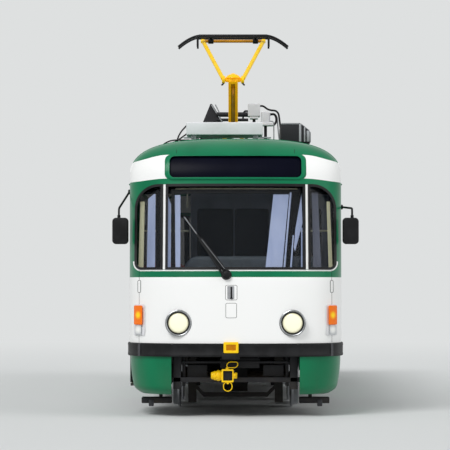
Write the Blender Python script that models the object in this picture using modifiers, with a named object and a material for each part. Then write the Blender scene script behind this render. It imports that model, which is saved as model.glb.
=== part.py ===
"""A four-axle single-ended tram with folding doors and a single-arm pantograph.

Metres, +Z up. X runs across the tram and Y along it, with the front end towards -Y and the doors on the
-X side. The origin is on the rail side of the wheel flanges' lowest points, midway along and across.
"""

import math

import bmesh
import bpy
from mathutils import Matrix, Vector

# Fits and curve quality
FIT = 0.0003  # gap between pieces that touch
CLEARANCE = 0.006  # gap beside a piece that moves
OVERRUN = 0.10  # how far a cutter runs past what it cuts
TOOL_LAP = 0.002  # how far joined shapes run into each other
WELD = 0.00001  # points this near each other are one
SHARP_DEG = 30
END_COLUMNS = 16
ROOF_COLUMNS = 16
ROUND_SIDES = 12
WHEEL_SIDES = 20
KNUCKLE_SIDES = 8
CORNER_STEPS = 2
SCREEN_CORNER_STEPS = 5

# Body shell
BODY_LENGTH = 14.0  # over the bumper strips
BODY_HALF_WIDTH = 1.25
SHELL = 0.05
END_LENGTH = 1.0
BUMPER_PROUD = 0.03
BUMPER_SIDE_PROUD = 0.02
SILL_Z = 0.70
BUMPER_TOP_Z = 0.854
WAIST_Z = 1.614
GUTTER_Z = 2.73
ROOF_RISE = 0.52
WAIST_SETBACK = 0.04
GUTTER_SETBACK = 0.33
PLAN_POWER = 2.7  # superellipse power of the end's plan
ROOF_POWER = 3.0  # superellipse power of the roof's section
NOSE_POWER = 2.0  # superellipse power of the end's side profile over the gutter

# Windows and doors
DOOR_POST = 0.07  # from the front door to the end of the straight wall
DOOR_PILLAR = 0.12  # from a door to the next window
DOOR_PLACES = 4  # pitches from mid length to the outer doors
WINDOW_BOTTOM_Z = 1.706
SIDE_WINDOW_TOP_Z = 2.60
WINDOW_CORNER = 0.08
LEFT_WINDOWS = range(-4, 5)
RIGHT_WINDOWS = (-3, -2, -1, 1, 2, 3)
DOORS = (("front_door", -DOOR_PLACES), ("middle_door", 0), ("rear_door", DOOR_PLACES))
DOOR_WIDTH = 1.30
DOOR_TOP_Z = 2.58
GLASS = 0.008
GLASS_LAP = 0.015
GLASS_WEB = 0.006
SURROUND = 0.015  # inside window surround's thickness
SURROUND_LIP = 0.01
SURROUND_EDGE = 0.06
HEADER_BAND_LOW_Z = 2.605
WINDSCREEN_TOP_Z = 2.693
WINDSCREEN_SIDE = 0.075  # from the windscreen to the body's side
WINDSCREEN_TOP_CORNER = 0.28
MULLION_INSET = 0.349  # from the windscreen's edge
MULLION_WIDTH = 0.04

# Door leaves
LEAF = 0.030
POST_GAP = 0.012
FOLD_GAP = 0.006
MEETING_GAP = 0.010
LEAF_BOTTOM_GAP = 0.012
LEAF_TOP_GAP = 0.010
POST_HINGE_INSET = 0.040  # clears the well's end plate as the leaf stands open
LEAF_STILE = 0.045
LEAF_RAIL_Z = 1.20
LEAF_TOP_RAIL = 0.10
LEAF_WEB = 0.008
LEAF_PIN_RADIUS = 0.010
KNUCKLE_RADIUS = 0.0037
KNUCKLE_STRAP = 0.020
KNUCKLE_INSET_Z = 0.15

# Floor, steps and what hangs under them
FLOOR_Z = 0.88
FLOOR = 0.06
FLOOR_EDGE_GAP = 0.002
LOW_STEP_Z = 0.36
HIGH_STEP_Z = 0.62
LOW_STEP_INNER_X = -0.80
HIGH_STEP_INNER_X = -0.60
STEP_PLATE = 0.03
STEP_OUTER_GAP = 0.004
BOLSTER_HALF_LENGTH = 0.12
BOLSTER_HALF_WIDTH = 0.55
BEAM_X = 0.30
BEAM_HALF_WIDTH = 0.05
BEAM_DEPTH = 0.10
BEAM_HALF_LENGTH = 1.60
DRAWBAR_X = -0.03
DRAWBAR_Z = 0.482
DRAWBAR_HALF = 0.022
DRAWBAR_ROOT_Y = 5.70  # distance from mid length
COUPLER_PIN_Y = 6.80  # distance from mid length
COUPLER_PIN_RADIUS = 0.02
COUPLER_HUB_RADIUS = 0.05
COUPLER_HUB_HALF = 0.035
CHEEK = 0.022
CHEEK_GAP = 0.003
LIFEGUARD_Y = -4.95
LIFEGUARD_X = 0.53
LIFEGUARD_LEG_HALF = 0.05
LIFEGUARD_LEG_LOW_Z = 0.09
LIFEGUARD_BAR_X = 0.39
LIFEGUARD_BAR_Z = 0.185
LIFEGUARD_BAR_HALF = 0.028
LIFEGUARD_DEPTH = 0.05
LIFEGUARD_SHOULDER_Z = 0.28
JACK_PAD_X = 0.90
JACK_PAD_Y = 1.75
JACK_PAD_HALF = 0.09
JACK_PAD_DEPTH = 0.08

# Skirts
SKIRT_LOW_Z = 0.26
SKIRT = 0.04
SKIRT_INSET = 0.012
SKIRT_TUCK = 0.06
SKIRT_ROW_SHARES = (0.0, 0.12, 0.35, 0.65, 1.0)  # of the skirt's height
SKIRT_INNER_X = 0.738
SKIRT_CORNER = 0.10
ARCH_POST = 0.05  # from an arch to the outer door
ARCH_TOP_Z = 0.62
ARCH_CORNER = 0.12
STEP_SLOT_Z = 0.33
CROSSBAR_LOW_Z = 0.402
CROSSBAR_HIGH_Z = 0.459
CROSSBAR_DEPTH = 0.05
CROSSBAR_BACK = 0.30  # behind the nose
HANGER_X = 0.675
HANGER_HALF_WIDTH = 0.045
HANGER_LOW_Z = 0.32

# Running gear
GAUGE = 1.435
BOGIE_CENTRE_Y = 3.20
HALF_WHEELBASE = 0.95
WHEEL_RADIUS = 0.35
FLANGE_HEIGHT = 0.025
FLANGE_BACK = 0.0325
FLANGE_TIP = 0.018
WHEEL_WIDTH = 0.100
RIM_THICKNESS = 0.055
WEB = 0.045
HUB_RADIUS = 0.13
HUB_PROUD = 0.012
AXLE_RADIUS = 0.065
AXLE_CLEARANCE = 0.00095
SIDE_FRAME_X = 0.50
SIDE_FRAME_HALF = 0.055
SIDE_FRAME_LOW_Z = 0.42
SIDE_FRAME_HIGH_Z = 0.56
SIDE_FRAME_HALF_LENGTH = 1.08
AXLE_BOX_HALF = 0.115
AXLE_BOX_LOW_Z = 0.27
CROSS_MEMBER_Y = 0.34
CROSS_MEMBER_HALF = 0.06
BOGIE_BOLSTER_X = 0.64
BOGIE_BOLSTER_Y = 0.14
BOGIE_BOLSTER_LOW_Z = 0.54
BOGIE_BOLSTER_HIGH_Z = 0.67
PIVOT_RADIUS = 0.17
PIVOT_TOP_Z = 0.735
MOTOR_RADIUS = 0.19
MOTOR_Z = 0.41
MOTOR_START_Y = 0.17
GEAR_CASE_HALF_X = 0.15
GEAR_CASE_HALF_Y = 0.20
GEAR_CASE_LOW_Z = 0.20
GEAR_CASE_HIGH_Z = 0.56
TRACK_BRAKE_X = 0.75
TRACK_BRAKE_HALF_X = 0.035
TRACK_BRAKE_HALF_Y = 0.44
TRACK_BRAKE_LOW_Z = 0.045
TRACK_BRAKE_HIGH_Z = 0.15
BRAKE_HANGER_Y = 0.28
BRAKE_HANGER_HALF = 0.03

# Lamps and fittings outside
SIGN_LOW_Z = 2.774
SIGN_HIGH_Z = 3.028
SIGN_HALF_WIDTH = 0.768
SIGN_CORNER = 0.06
HEADLIGHT_X = 0.655
HEADLIGHT_Z = 1.087
HEADLIGHT_RADIUS = 0.1535
HEADLIGHT_LENS_RADIUS = 0.1145
HEADLIGHT_PROUD = 0.035
HEADLIGHT_DEPTH = 0.13
HEADLIGHT_BULGE = 0.012
INDICATOR_INSET = 0.12  # from the body's side
INDICATOR_Z = 1.176
INDICATOR_WIDTH = 0.102
INDICATOR_HEIGHT = 0.2235
INDICATOR_PROUD = 0.035
SIDELAMP_Z = 1.008
SIDELAMP_WIDTH = 0.08
SIDELAMP_HEIGHT = 0.112
LAMP_PLATE_PROUD = 0.012
LAMP_PLATE_SHIFT = 0.03
TAIL_LAMP_INSET = 0.27
TAIL_LAMP_Z = 1.16
TAIL_LAMP_WIDTH = 0.13
TAIL_LAMP_HEIGHT = 0.36
MIRROR_OUT = 0.10  # outside the body's side
MIRROR_Y = -6.30
MIRROR_Z = 2.158
MIRROR_WIDTH = 0.19
MIRROR_HEIGHT = 0.31
MIRROR_DEPTH = 0.08
MIRROR_CORNER = 0.045
MIRROR_ARM_RADIUS = 0.014
MIRROR_FOOT_Y = -5.93
MIRROR_FOOT = 0.03
MIRROR_LEFT_FOOT_Z = 2.45
MIRROR_RIGHT_FOOT_Z = 2.63
WIPER_X = -0.105
WIPER_Z = 1.640
WIPER_TIP_X = -0.592
WIPER_TIP_Z = 2.31
WIPER_HUB_RADIUS = 0.045
WIPER_HUB_PROUD = 0.060
WIPER_ARM_RADIUS = 0.011
WIPER_BLADE_RADIUS = 0.009
WIPER_BLADE_SHARE = 0.62  # of the arm's length, carried by the arm's outer part

# Couplers
COUPLER_YOKE_LENGTH = 0.08
COUPLER_YOKE_HALF_HEIGHT = 0.075
COUPLER_YOKE_HALF_DEPTH = 0.03
COUPLER_YOKE_HOLE = 0.026
COUPLER_HEAD_LENGTH = 0.125
COUPLER_HEAD_RADIUS = 0.062
COUPLER_HEAD_TIP_RADIUS = 0.045

# Inside
PARTITION_Y = -4.93
PARTITION = 0.04
PARTITION_LOW_X = -0.55
PARTITION_SIDE = 0.03  # from the partition to the wall
PARTITION_TOP_Z = 2.66
PARTITION_PANE_SHARES = ((-0.368, -0.028), (0.0, 0.32), (0.416, 0.84))  # low and high X, of the half width
PARTITION_PANE_LOW_Z = 1.88
PARTITION_PANE_HIGH_Z = 2.456
PARTITION_PANE_CORNER = 0.03
DASH_LOW_X = -0.50
DASH_INSET = 0.23  # from the body's side
DASH_FRONT_Y = -6.50
DASH_BACK_Y = -6.12
DASH_TOP_Z = 1.68
DASH_HUMP_LOW_X = -0.38
DASH_HUMP_HIGH_X = 0.46
DASH_HUMP_Z = 1.86
DASH_SLOPE = 0.10
CAB_SEAT_X = 0.30
CAB_SEAT_Y = -5.50
SEAT_WIDTH = 0.43
SEAT_DEPTH = 0.42
SEAT_HEIGHT = 0.44
SEAT_BACK_HEIGHT = 0.50
SEAT_THICKNESS = 0.05
SEAT_RAKE = 0.08
SEAT_LEG_HALF = 0.045
SEAT_WALL_GAP = 0.035
SEAT_PITCH = 0.86
SEAT_RAIL_HALF = 0.018
LEFT_SEAT_ROWS = range(-4, 6)
RIGHT_SEATS_FRONT_Y = -3.55
RIGHT_SEATS_REAR_Y = 1.15
RIGHT_SEATS_FRONT = 3
RIGHT_SEATS_REAR = 4
RAIL_X = -0.48
RAIL_Z = 2.46
RAIL_RADIUS = 0.017
POLE_RADIUS_SHARE = 0.98  # of the rail's radius
POLE_OUTER_Y = 4.30
POLE_INNER_Y = 0.72

# Underfloor equipment
CASE_WIDTH = 0.60
CASE_INSET = 0.13  # from the body's side
CASE_LOW_Z = 0.36
CASE_INNER_Y = 0.10
CASE_OUTER_Y = 1.45
GENERATOR_RADIUS = 0.20
GENERATOR_Z = 0.50
GENERATOR_HALF_LENGTH = 0.85
SADDLE_HALF_Y = 0.06
SADDLE_Y = 0.55

# Roof equipment
ROOF_BOX_LOW_X = -0.594
ROOF_BOX_HIGH_X = 0.33
ROOF_BOX_LOW_Y = -5.55
ROOF_BOX_HIGH_Y = -4.85
ROOF_BOX_LOW_Z = 3.35
ROOF_BOX_HIGH_Z = 3.52
ROOF_BOX_BEVEL = 0.03
ROOF_FOOT_HALF = 0.04
ROOF_FOOT_INSET = 0.09
RESISTOR_WIDTH = 0.40
RESISTOR_INSET = 0.27  # from the body's side
RESISTOR_LOW_Y = -3.85
RESISTOR_HIGH_Y = -2.65
RESISTOR_LOW_Z = 3.34
RESISTOR_HIGH_Z = 3.60

# Pantograph
PAN_X = -0.03
PAN_PIVOT_Y = -3.20
PAN_PIVOT_Z = 3.50
PAN_ARM = 1.30  # pivot to pivot, both arms
PAN_RISE = 0.60  # of each arm at the height shown
PAN_BASE_LOW_Y = -3.75
PAN_BASE_HIGH_Y = -2.35
PAN_BASE_SHARE = 0.36  # of the body's half width
PAN_BASE_TUBE = 0.03
PAN_BASE_Z = 3.38
PAN_SHAFT_RADIUS = 0.025
PAN_LUG_X = 0.17
PAN_LUG_HALF_X = 0.02
PAN_LUG_HALF_Y = 0.05
PAN_SLEEVE_HALF = 0.14
PAN_SLEEVE_RADIUS = 0.045
PAN_RUNNING_GAP = 0.00095
PAN_LOWER_RADIUS = 0.062
PAN_KNEE_RADIUS = 0.085
PAN_KNEE_HALF = 0.045
PAN_KNEE_PIN_RADIUS = 0.022
PAN_FORK_X = 0.12
PAN_FORK_HALF_X = 0.02
PAN_FORK_RADIUS = 0.05
PAN_UPPER_RADIUS = 0.026
PAN_UPPER_SPREAD = 0.393
PAN_HEAD_TUBE_RADIUS = 0.020
PAN_HEAD_SLEEVE_RADIUS = 0.034
PAN_HEAD_SLEEVE_HALF = 0.035
PAN_HEAD_SLEEVE_X = 0.29
PAN_STRIP_HALF_WIDTH = 0.455
PAN_STRIP_HALF_DEPTH = 0.022
PAN_STRIP_LOW = 0.035  # above the head's pivot
PAN_STRIP_HIGH = 0.075
PAN_STRIP_Y = 0.13  # each strip from the head's middle
PAN_HORN_HALF_WIDTH = 0.714
PAN_HORN_DROP = 0.16
PAN_HORN_RADIUS = 0.014
PAN_ROD_DROP = 0.115
PAN_ROD_RADIUS = 0.013
PAN_ROD_START_SHARE = 0.16  # of the lower arm
PAN_ROD_END_SHARE = 0.88
PAN_POST_Y = -2.50
# Low and high X from the pantograph's middle and low and high Z over its base, of the base's half width
PAN_BOX_SHARES = ((0.4333, 0.7933, 0.8, 1.1556), (0.8333, 1.0711, 0.5333, 0.8889))
PAN_BOX_HALF_DEPTH = 0.11
PAN_POST_HALF = 0.02
PAN_STRUT_X = -0.30
PAN_STRUT_PEAK_Z = 3.88
PAN_STRUT_SPREAD = 0.13
PAN_STRUT_RADIUS = 0.016

# Worked out from the sizes above
PITCH = (BODY_LENGTH / 2 - END_LENGTH - DOOR_POST - DOOR_WIDTH / 2) / DOOR_PLACES
SIDE_WINDOW_WIDTH = 2 * (PITCH - DOOR_WIDTH / 2 - DOOR_PILLAR)
WINDSCREEN_HALF_WIDTH = BODY_HALF_WIDTH - WINDSCREEN_SIDE
MULLION_X = WINDSCREEN_HALF_WIDTH - MULLION_INSET
ARCH_HALF_LENGTH = PITCH * DOOR_PLACES - DOOR_WIDTH / 2 - ARCH_POST - BOGIE_CENTRE_Y
INDICATOR_X = BODY_HALF_WIDTH - INDICATOR_INSET
TAIL_LAMP_X = BODY_HALF_WIDTH - TAIL_LAMP_INSET
MIRROR_X = BODY_HALF_WIDTH + MIRROR_OUT
DASH_HIGH_X = BODY_HALF_WIDTH - DASH_INSET
PAN_BASE_HALF_WIDTH = BODY_HALF_WIDTH * PAN_BASE_SHARE
CASE_HIGH_X = BODY_HALF_WIDTH - CASE_INSET
CASE_LOW_X = CASE_HIGH_X - CASE_WIDTH
RESISTOR_HIGH_X = BODY_HALF_WIDTH - RESISTOR_INSET
RESISTOR_LOW_X = RESISTOR_HIGH_X - RESISTOR_WIDTH
STRAIGHT = BODY_LENGTH / 2 - END_LENGTH
NOSE_REACH = END_LENGTH - BUMPER_PROUD
WALL_INNER_X = BODY_HALF_WIDTH - SHELL
AXLE_Z = WHEEL_RADIUS + FLANGE_HEIGHT
PARTITION_HIGH_X = WALL_INNER_X - PARTITION_SIDE
SEAT_Z = FLOOR_Z + SEAT_HEIGHT
RIGHT_SEAT_ROWS = (
    ("front", RIGHT_SEATS_FRONT_Y, RIGHT_SEATS_FRONT),
    ("rear", RIGHT_SEATS_REAR_Y, RIGHT_SEATS_REAR),
)
POLE_YS = (-POLE_OUTER_Y, -POLE_INNER_Y, POLE_INNER_Y, POLE_OUTER_Y)
UNDER_FLOOR_Z = FLOOR_Z - FLOOR
LEAF_WIDTH = ((DOOR_WIDTH - MEETING_GAP) / 2 - POST_GAP - FOLD_GAP) / 2
LEAF_X = -BODY_HALF_WIDTH + LEAF / 2
PAN_ANGLE = math.asin(PAN_RISE / PAN_ARM)
PAN_RUN = PAN_ARM * math.cos(PAN_ANGLE)
PAN_KNEE = Vector((PAN_X, PAN_PIVOT_Y - PAN_RUN, PAN_PIVOT_Z + PAN_RISE))
PAN_HEAD = Vector((PAN_X, PAN_PIVOT_Y, PAN_PIVOT_Z + 2 * PAN_RISE))

GREEN = ("green_paint", (0.0, 0.19, 0.09), 0.35, 0.0)
WHITE = ("white_paint", (0.85, 0.85, 0.85), 0.35, 0.0)
BLACK = ("black_rubber", (0.02, 0.02, 0.02), 0.6, 0.0)
DARK = ("dark_steel", (0.06, 0.06, 0.065), 0.6, 0.3)
STEEL = ("bright_steel", (0.45, 0.45, 0.46), 0.35, 1.0)
YELLOW = ("yellow_paint", (0.85, 0.55, 0.04), 0.4, 0.0)
ORANGE = ("orange_lens", (0.95, 0.25, 0.01), 0.2, 0.0)
RED = ("red_lens", (0.55, 0.02, 0.02), 0.2, 0.0)
CREAM = ("lamp_glass", (0.95, 0.92, 0.70), 0.15, 0.0)
PANE = ("dark_glass", (0.02, 0.02, 0.04), 0.05, 0.0)
GREY = ("grey_laminate", (0.30, 0.31, 0.33), 0.5, 0.0)
SEAT_RED = ("seat_laminate", (0.45, 0.06, 0.04), 0.4, 0.0)


# Making solids
def collection(name):
    found = bpy.data.collections.new(name)
    bpy.context.scene.collection.children.link(found)
    return found


def material(finish):
    name, colour, roughness, metallic = finish
    found = bpy.data.materials.get(name)
    if found is None:
        found = bpy.data.materials.new(name)
        found.use_nodes = True
        shader = found.node_tree.nodes["Principled BSDF"]
        shader.inputs["Base Color"].default_value = (*colour, 1.0)
        shader.inputs["Roughness"].default_value = roughness
        shader.inputs["Metallic"].default_value = metallic
    return found


def from_bmesh(mesh_data, name):
    bmesh.ops.recalc_face_normals(mesh_data, faces=mesh_data.faces)
    mesh = bpy.data.meshes.new(name)
    mesh_data.to_mesh(mesh)
    mesh_data.free()
    shape = bpy.data.objects.new(name, mesh)
    TRAM.objects.link(shape)
    return shape


def box(low, high, name="tool"):
    """A box between two opposite corners."""
    low, high = Vector(low), Vector(high)
    mesh_data = bmesh.new()
    bmesh.ops.create_cube(mesh_data, size=1.0)
    bmesh.ops.scale(mesh_data, vec=high - low, verts=mesh_data.verts)
    bmesh.ops.translate(mesh_data, vec=(low + high) / 2, verts=mesh_data.verts)
    return from_bmesh(mesh_data, name)


def cylinder(start, end, radius, end_radius=None, sides=ROUND_SIDES, name="tool"):
    """A cylinder or cone frustum from start to end."""
    start, end = Vector(start), Vector(end)
    run = end - start
    mesh_data = bmesh.new()
    top = radius if end_radius is None else end_radius
    bmesh.ops.create_cone(
        mesh_data, cap_ends=True, segments=sides, radius1=radius, radius2=top, depth=run.length
    )
    turn = run.to_track_quat("Z", "Y").to_matrix().to_4x4()
    bmesh.ops.transform(mesh_data, matrix=Matrix.Translation((start + end) / 2) @ turn, verts=mesh_data.verts)
    return from_bmesh(mesh_data, name)


def settled(curve_object, matrix, name):
    """The curve object made a closed mesh, with its caps welded to its sides, and the curve removed."""
    bpy.context.view_layer.update()
    graph = bpy.context.evaluated_depsgraph_get()
    mesh = bpy.data.meshes.new_from_object(curve_object.evaluated_get(graph))
    mesh_data = bmesh.new()
    mesh_data.from_mesh(mesh)
    bmesh.ops.remove_doubles(mesh_data, verts=mesh_data.verts, dist=WELD)
    bmesh.ops.transform(mesh_data, matrix=matrix, verts=mesh_data.verts)
    bpy.data.objects.remove(curve_object, do_unlink=True)
    bpy.data.meshes.remove(mesh)
    return from_bmesh(mesh_data, name)


def tube(points, radius, name="tool", resolution=2):
    """A round bar through the points."""
    curve = bpy.data.curves.new(name, "CURVE")
    curve.dimensions = "3D"
    curve.bevel_depth = radius
    curve.bevel_resolution = resolution
    curve.use_fill_caps = True
    spline = curve.splines.new("POLY")
    spline.points.add(len(points) - 1)
    for point, place in zip(spline.points, points):
        point.co = (*place, 1.0)
    bar = bpy.data.objects.new(name, curve)
    TRAM.objects.link(bar)
    return settled(bar, Matrix.Identity(4), name)


PLANES = {
    "yz": (Vector((0, 1, 0)), Vector((0, 0, 1)), Vector((1, 0, 0))),
    "xz": (Vector((1, 0, 0)), Vector((0, 0, 1)), Vector((0, -1, 0))),
    "xy": (Vector((1, 0, 0)), Vector((0, 1, 0)), Vector((0, 0, 1))),
}


def plate(plane, outlines, low, high, name="tool"):
    """A flat plate on one of the three planes, from low to high along the plane's normal axis. The first
    outline is its edge and the rest are its holes."""
    across, up, normal = PLANES[plane]
    curve = bpy.data.curves.new(name, "CURVE")
    curve.dimensions = "2D"
    curve.fill_mode = "BOTH"
    curve.extrude = abs(high - low) / 2
    for outline in outlines:
        spline = curve.splines.new("POLY")
        spline.points.add(len(outline) - 1)
        for point, (u, v) in zip(spline.points, outline):
            point.co = (u, v, 0.0, 1.0)
        spline.use_cyclic_u = True
    sheet = bpy.data.objects.new(name, curve)
    TRAM.objects.link(sheet)
    turn = Matrix((across, up, normal)).transposed().to_4x4()
    middle = Vector([abs(part) for part in normal]) * (low + high) / 2
    return settled(sheet, Matrix.Translation(middle) @ turn, name)


def rounded(low_u, high_u, low_v, high_v, low_radius, high_radius=None, steps=CORNER_STEPS):
    """The outline of a rectangle whose lower and upper corners are arcs."""
    high_radius = low_radius if high_radius is None else high_radius
    corners = (
        (high_u - low_radius, low_v + low_radius, low_radius, -90),
        (high_u - high_radius, high_v - high_radius, high_radius, 0),
        (low_u + high_radius, high_v - high_radius, high_radius, 90),
        (low_u + low_radius, low_v + low_radius, low_radius, 180),
    )
    outline = []
    for centre_u, centre_v, radius, start in corners:
        for step in range(steps + 1):
            angle = math.radians(start + 90 * step / steps)
            outline.append((centre_u + radius * math.cos(angle), centre_v + radius * math.sin(angle)))
    return outline


def turned(profile, axis, name="tool", sides=ROUND_SIDES):
    """A solid turned about a line: the profile's points are (radius, distance along the axis)."""
    mesh = bpy.data.meshes.new(name)
    edges = [(index, index + 1) for index in range(len(profile) - 1)]
    mesh.from_pydata([(radius, 0.0, along) for radius, along in profile], edges, [])
    lathe = bpy.data.objects.new(name, mesh)
    TRAM.objects.link(lathe)
    screw = lathe.modifiers.new("Turn", "SCREW")
    screw.steps = sides
    screw.render_steps = sides
    screw.use_merge_vertices = True
    screw.merge_threshold = WELD
    start, direction = axis
    turn = Vector(direction).to_track_quat("Z", "Y").to_matrix().to_4x4()
    return settled(lathe, Matrix.Translation(start) @ turn, name)


def combine(target, others, operation):
    for other in others:
        modifier = target.modifiers.new("Join", "BOOLEAN")
        modifier.operation = operation
        modifier.solver = "EXACT"
        modifier.object = other
    bpy.context.view_layer.update()
    graph = bpy.context.evaluated_depsgraph_get()
    mesh = bpy.data.meshes.new_from_object(target.evaluated_get(graph))
    target.modifiers.clear()
    old = target.data
    target.data = mesh
    bpy.data.meshes.remove(old)
    for other in others:
        bpy.data.objects.remove(other, do_unlink=True)
    return target


def join(target, *others):
    return combine(target, others, "UNION")


def cut(target, *others):
    return combine(target, others, "DIFFERENCE")


def keep(target, other):
    return combine(target, (other,), "INTERSECT")


def node(shape, name, finish, origin=(0.0, 0.0, 0.0), carrier=None):
    """Names the finished solid, gives it its material and puts its origin where it turns or stands."""
    shape.name = name
    shape.data.name = name
    shape.data.materials.clear()
    shape.data.materials.append(material(finish))
    shape.data.transform(Matrix.Translation(-Vector(origin)))
    shape.location = origin
    shape.data.shade_smooth()
    shape.data.set_sharp_from_angle(angle=math.radians(SHARP_DEG))
    if carrier:
        bpy.context.view_layer.update()
        shape.parent = carrier
        shape.matrix_parent_inverse = carrier.matrix_world.inverted()
    return shape


def mirrored(points):
    """A half outline from low to high V at +U, closed by its mirror image."""
    return list(points) + [(-u, v) for u, v in reversed(points)]


# The moulded ends' surface
def power(value, exponent):
    return math.copysign(abs(value) ** exponent, value)


def setback(z):
    """How far the middle of an end lies behind its nose, at a height below the gutter."""
    if z <= WAIST_Z:
        return WAIST_SETBACK * ((z - SILL_Z) / (WAIST_Z - SILL_Z)) ** 2
    return WAIST_SETBACK + (GUTTER_SETBACK - WAIST_SETBACK) * (z - WAIST_Z) / (GUTTER_Z - WAIST_Z)


def plan_row(side, half_width, reach, z):
    """One level of an end: points from +X round the nose to -X."""
    row = []
    for column in range(END_COLUMNS + 1):
        angle = math.pi * column / END_COLUMNS
        x = half_width * power(math.cos(angle), 2 / PLAN_POWER)
        y = STRAIGHT + reach * power(math.sin(angle), 2 / PLAN_POWER)
        row.append((x, side * y, z))
    return row


def crown_share(column):
    """Height share and width share of a point of the roof's section."""
    angle = math.pi * column / ROOF_COLUMNS
    return power(math.sin(angle), 2 / ROOF_POWER), power(math.cos(angle), 2 / ROOF_POWER)


def end_rows(side, offset):
    """All levels of an end's surface, moved outwards by offset, from the sill to the roof's crest."""
    rows = []
    for z in (SILL_Z, (SILL_Z + WAIST_Z) / 2, WAIST_Z, GUTTER_Z):
        rows.append(plan_row(side, BODY_HALF_WIDTH + offset, NOSE_REACH - setback(z) + offset, z))
    reach = NOSE_REACH - GUTTER_SETBACK + offset
    for column in range(1, ROOF_COLUMNS // 2 + 1):
        height, width = crown_share(column)
        z = GUTTER_Z + height * (ROOF_RISE + offset)
        depth = reach * max(0.0, 1 - height**NOSE_POWER) ** (1 / NOSE_POWER)
        rows.append(plan_row(side, (BODY_HALF_WIDTH + offset) * width, depth, z))
    return rows


def wall_between(outer_rows, inner_rows, name="tool"):
    """A closed wall between two surfaces given as rows of points, with the same number in each."""
    mesh_data = bmesh.new()
    outer = [[mesh_data.verts.new(point) for point in row] for row in outer_rows]
    inner = [[mesh_data.verts.new(point) for point in row] for row in inner_rows]
    last_row = len(outer) - 1
    last = len(outer[0]) - 1
    for row in range(last_row):
        for column in range(last):
            # Every surface splits its quads along the same diagonal, so that offset walls nest.
            for face in (outer, inner):
                near, far = face[row][column], face[row + 1][column + 1]
                mesh_data.faces.new((near, face[row][column + 1], far))
                mesh_data.faces.new((near, far, face[row + 1][column]))
        for column in (0, last):
            corners = (outer[row][column], outer[row + 1][column], inner[row + 1][column], inner[row][column])
            mesh_data.faces.new(corners)
    for row in (0, last_row):
        for column in range(last):
            corners = (outer[row][column], outer[row][column + 1], inner[row][column + 1], inner[row][column])
            mesh_data.faces.new(corners)
    bmesh.ops.remove_doubles(mesh_data, verts=mesh_data.verts, dist=WELD)
    return from_bmesh(mesh_data, name)


def end_wall(side, outer_offset, inner_offset, name="tool"):
    """The end's whole surface as a wall between two offsets."""
    outer, inner = end_rows(side, outer_offset), end_rows(side, inner_offset)
    return wall_between(outer, inner, name)


def end_prism(side, outline):
    """A cutter seen as the outline from the front, through one end only."""
    inner_y = side * (STRAIGHT + TOOL_LAP)
    outer_y = side * (BODY_LENGTH / 2 + OVERRUN)
    return plate("xz", [outline], min(inner_y, outer_y), max(inner_y, outer_y))


def end_patch(side, outer_offset, inner_offset, outline, name="tool"):
    """What the outline cuts out of an end's surface, as a curved plate."""
    return keep(end_wall(side, outer_offset, inner_offset, name), end_prism(side, outline))


def end_surface_y(side, x, z, offset=0.0):
    """Where the end's surface lies at a place seen from the front, below the gutter."""
    reach = NOSE_REACH - setback(z) + offset
    share = min(1.0, abs(x) / (BODY_HALF_WIDTH + offset))
    return side * (STRAIGHT + reach * (1 - share**PLAN_POWER) ** (1 / PLAN_POWER))


def roof_row(offset, y):
    row = []
    for column in range(ROOF_COLUMNS + 1):
        height, width = crown_share(column)
        x = (BODY_HALF_WIDTH + offset) * width
        row.append((x, y, GUTTER_Z + height * (ROOF_RISE + offset)))
    return row


def roof_height(x):
    """The roof's faceted outside at a distance from the middle."""
    section = roof_row(0.0, 0.0)
    for (x_high, _, z_high), (x_low, _, z_low) in zip(section, section[1:]):
        if x_low <= x <= x_high:
            return z_low + (z_high - z_low) * (x - x_low) / (x_high - x_low)
    return GUTTER_Z


def window_edges(place, inset=0.0):
    middle = place * PITCH
    half = SIDE_WINDOW_WIDTH / 2 - inset
    return rounded(
        middle - half,
        middle + half,
        WINDOW_BOTTOM_Z + inset,
        SIDE_WINDOW_TOP_Z - inset,
        WINDOW_CORNER - inset,
    )


def screen_outline(inset):
    return rounded(
        -WINDSCREEN_HALF_WIDTH + inset,
        WINDSCREEN_HALF_WIDTH - inset,
        WINDOW_BOTTOM_Z + inset,
        WINDSCREEN_TOP_Z - inset,
        WINDOW_CORNER - inset,
        WINDSCREEN_TOP_CORNER - inset,
        SCREEN_CORNER_STEPS,
    )


# Body shell
def build_sides():
    end = STRAIGHT - FIT
    top = GUTTER_Z - FIT
    left_edge = [(-end, SILL_Z), (end, SILL_Z), (end, top), (-end, top)]
    holes = [window_edges(place) for place in LEFT_WINDOWS]
    left = plate("yz", [left_edge, *holes], WALL_INNER_X, BODY_HALF_WIDTH)
    node(left, "side_wall_left", GREEN)

    right_edge = [(-end, top), (-end, SILL_Z)]
    for _, place in DOORS:
        low, high = place * PITCH - DOOR_WIDTH / 2, place * PITCH + DOOR_WIDTH / 2
        right_edge += [(low, SILL_Z), (low, DOOR_TOP_Z), (high, DOOR_TOP_Z), (high, SILL_Z)]
    right_edge += [(end, SILL_Z), (end, top)]
    holes = [window_edges(place) for place in RIGHT_WINDOWS]
    right = plate("yz", [right_edge, *holes], -BODY_HALF_WIDTH, -WALL_INNER_X)
    node(right, "side_wall_right", GREEN)


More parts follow.
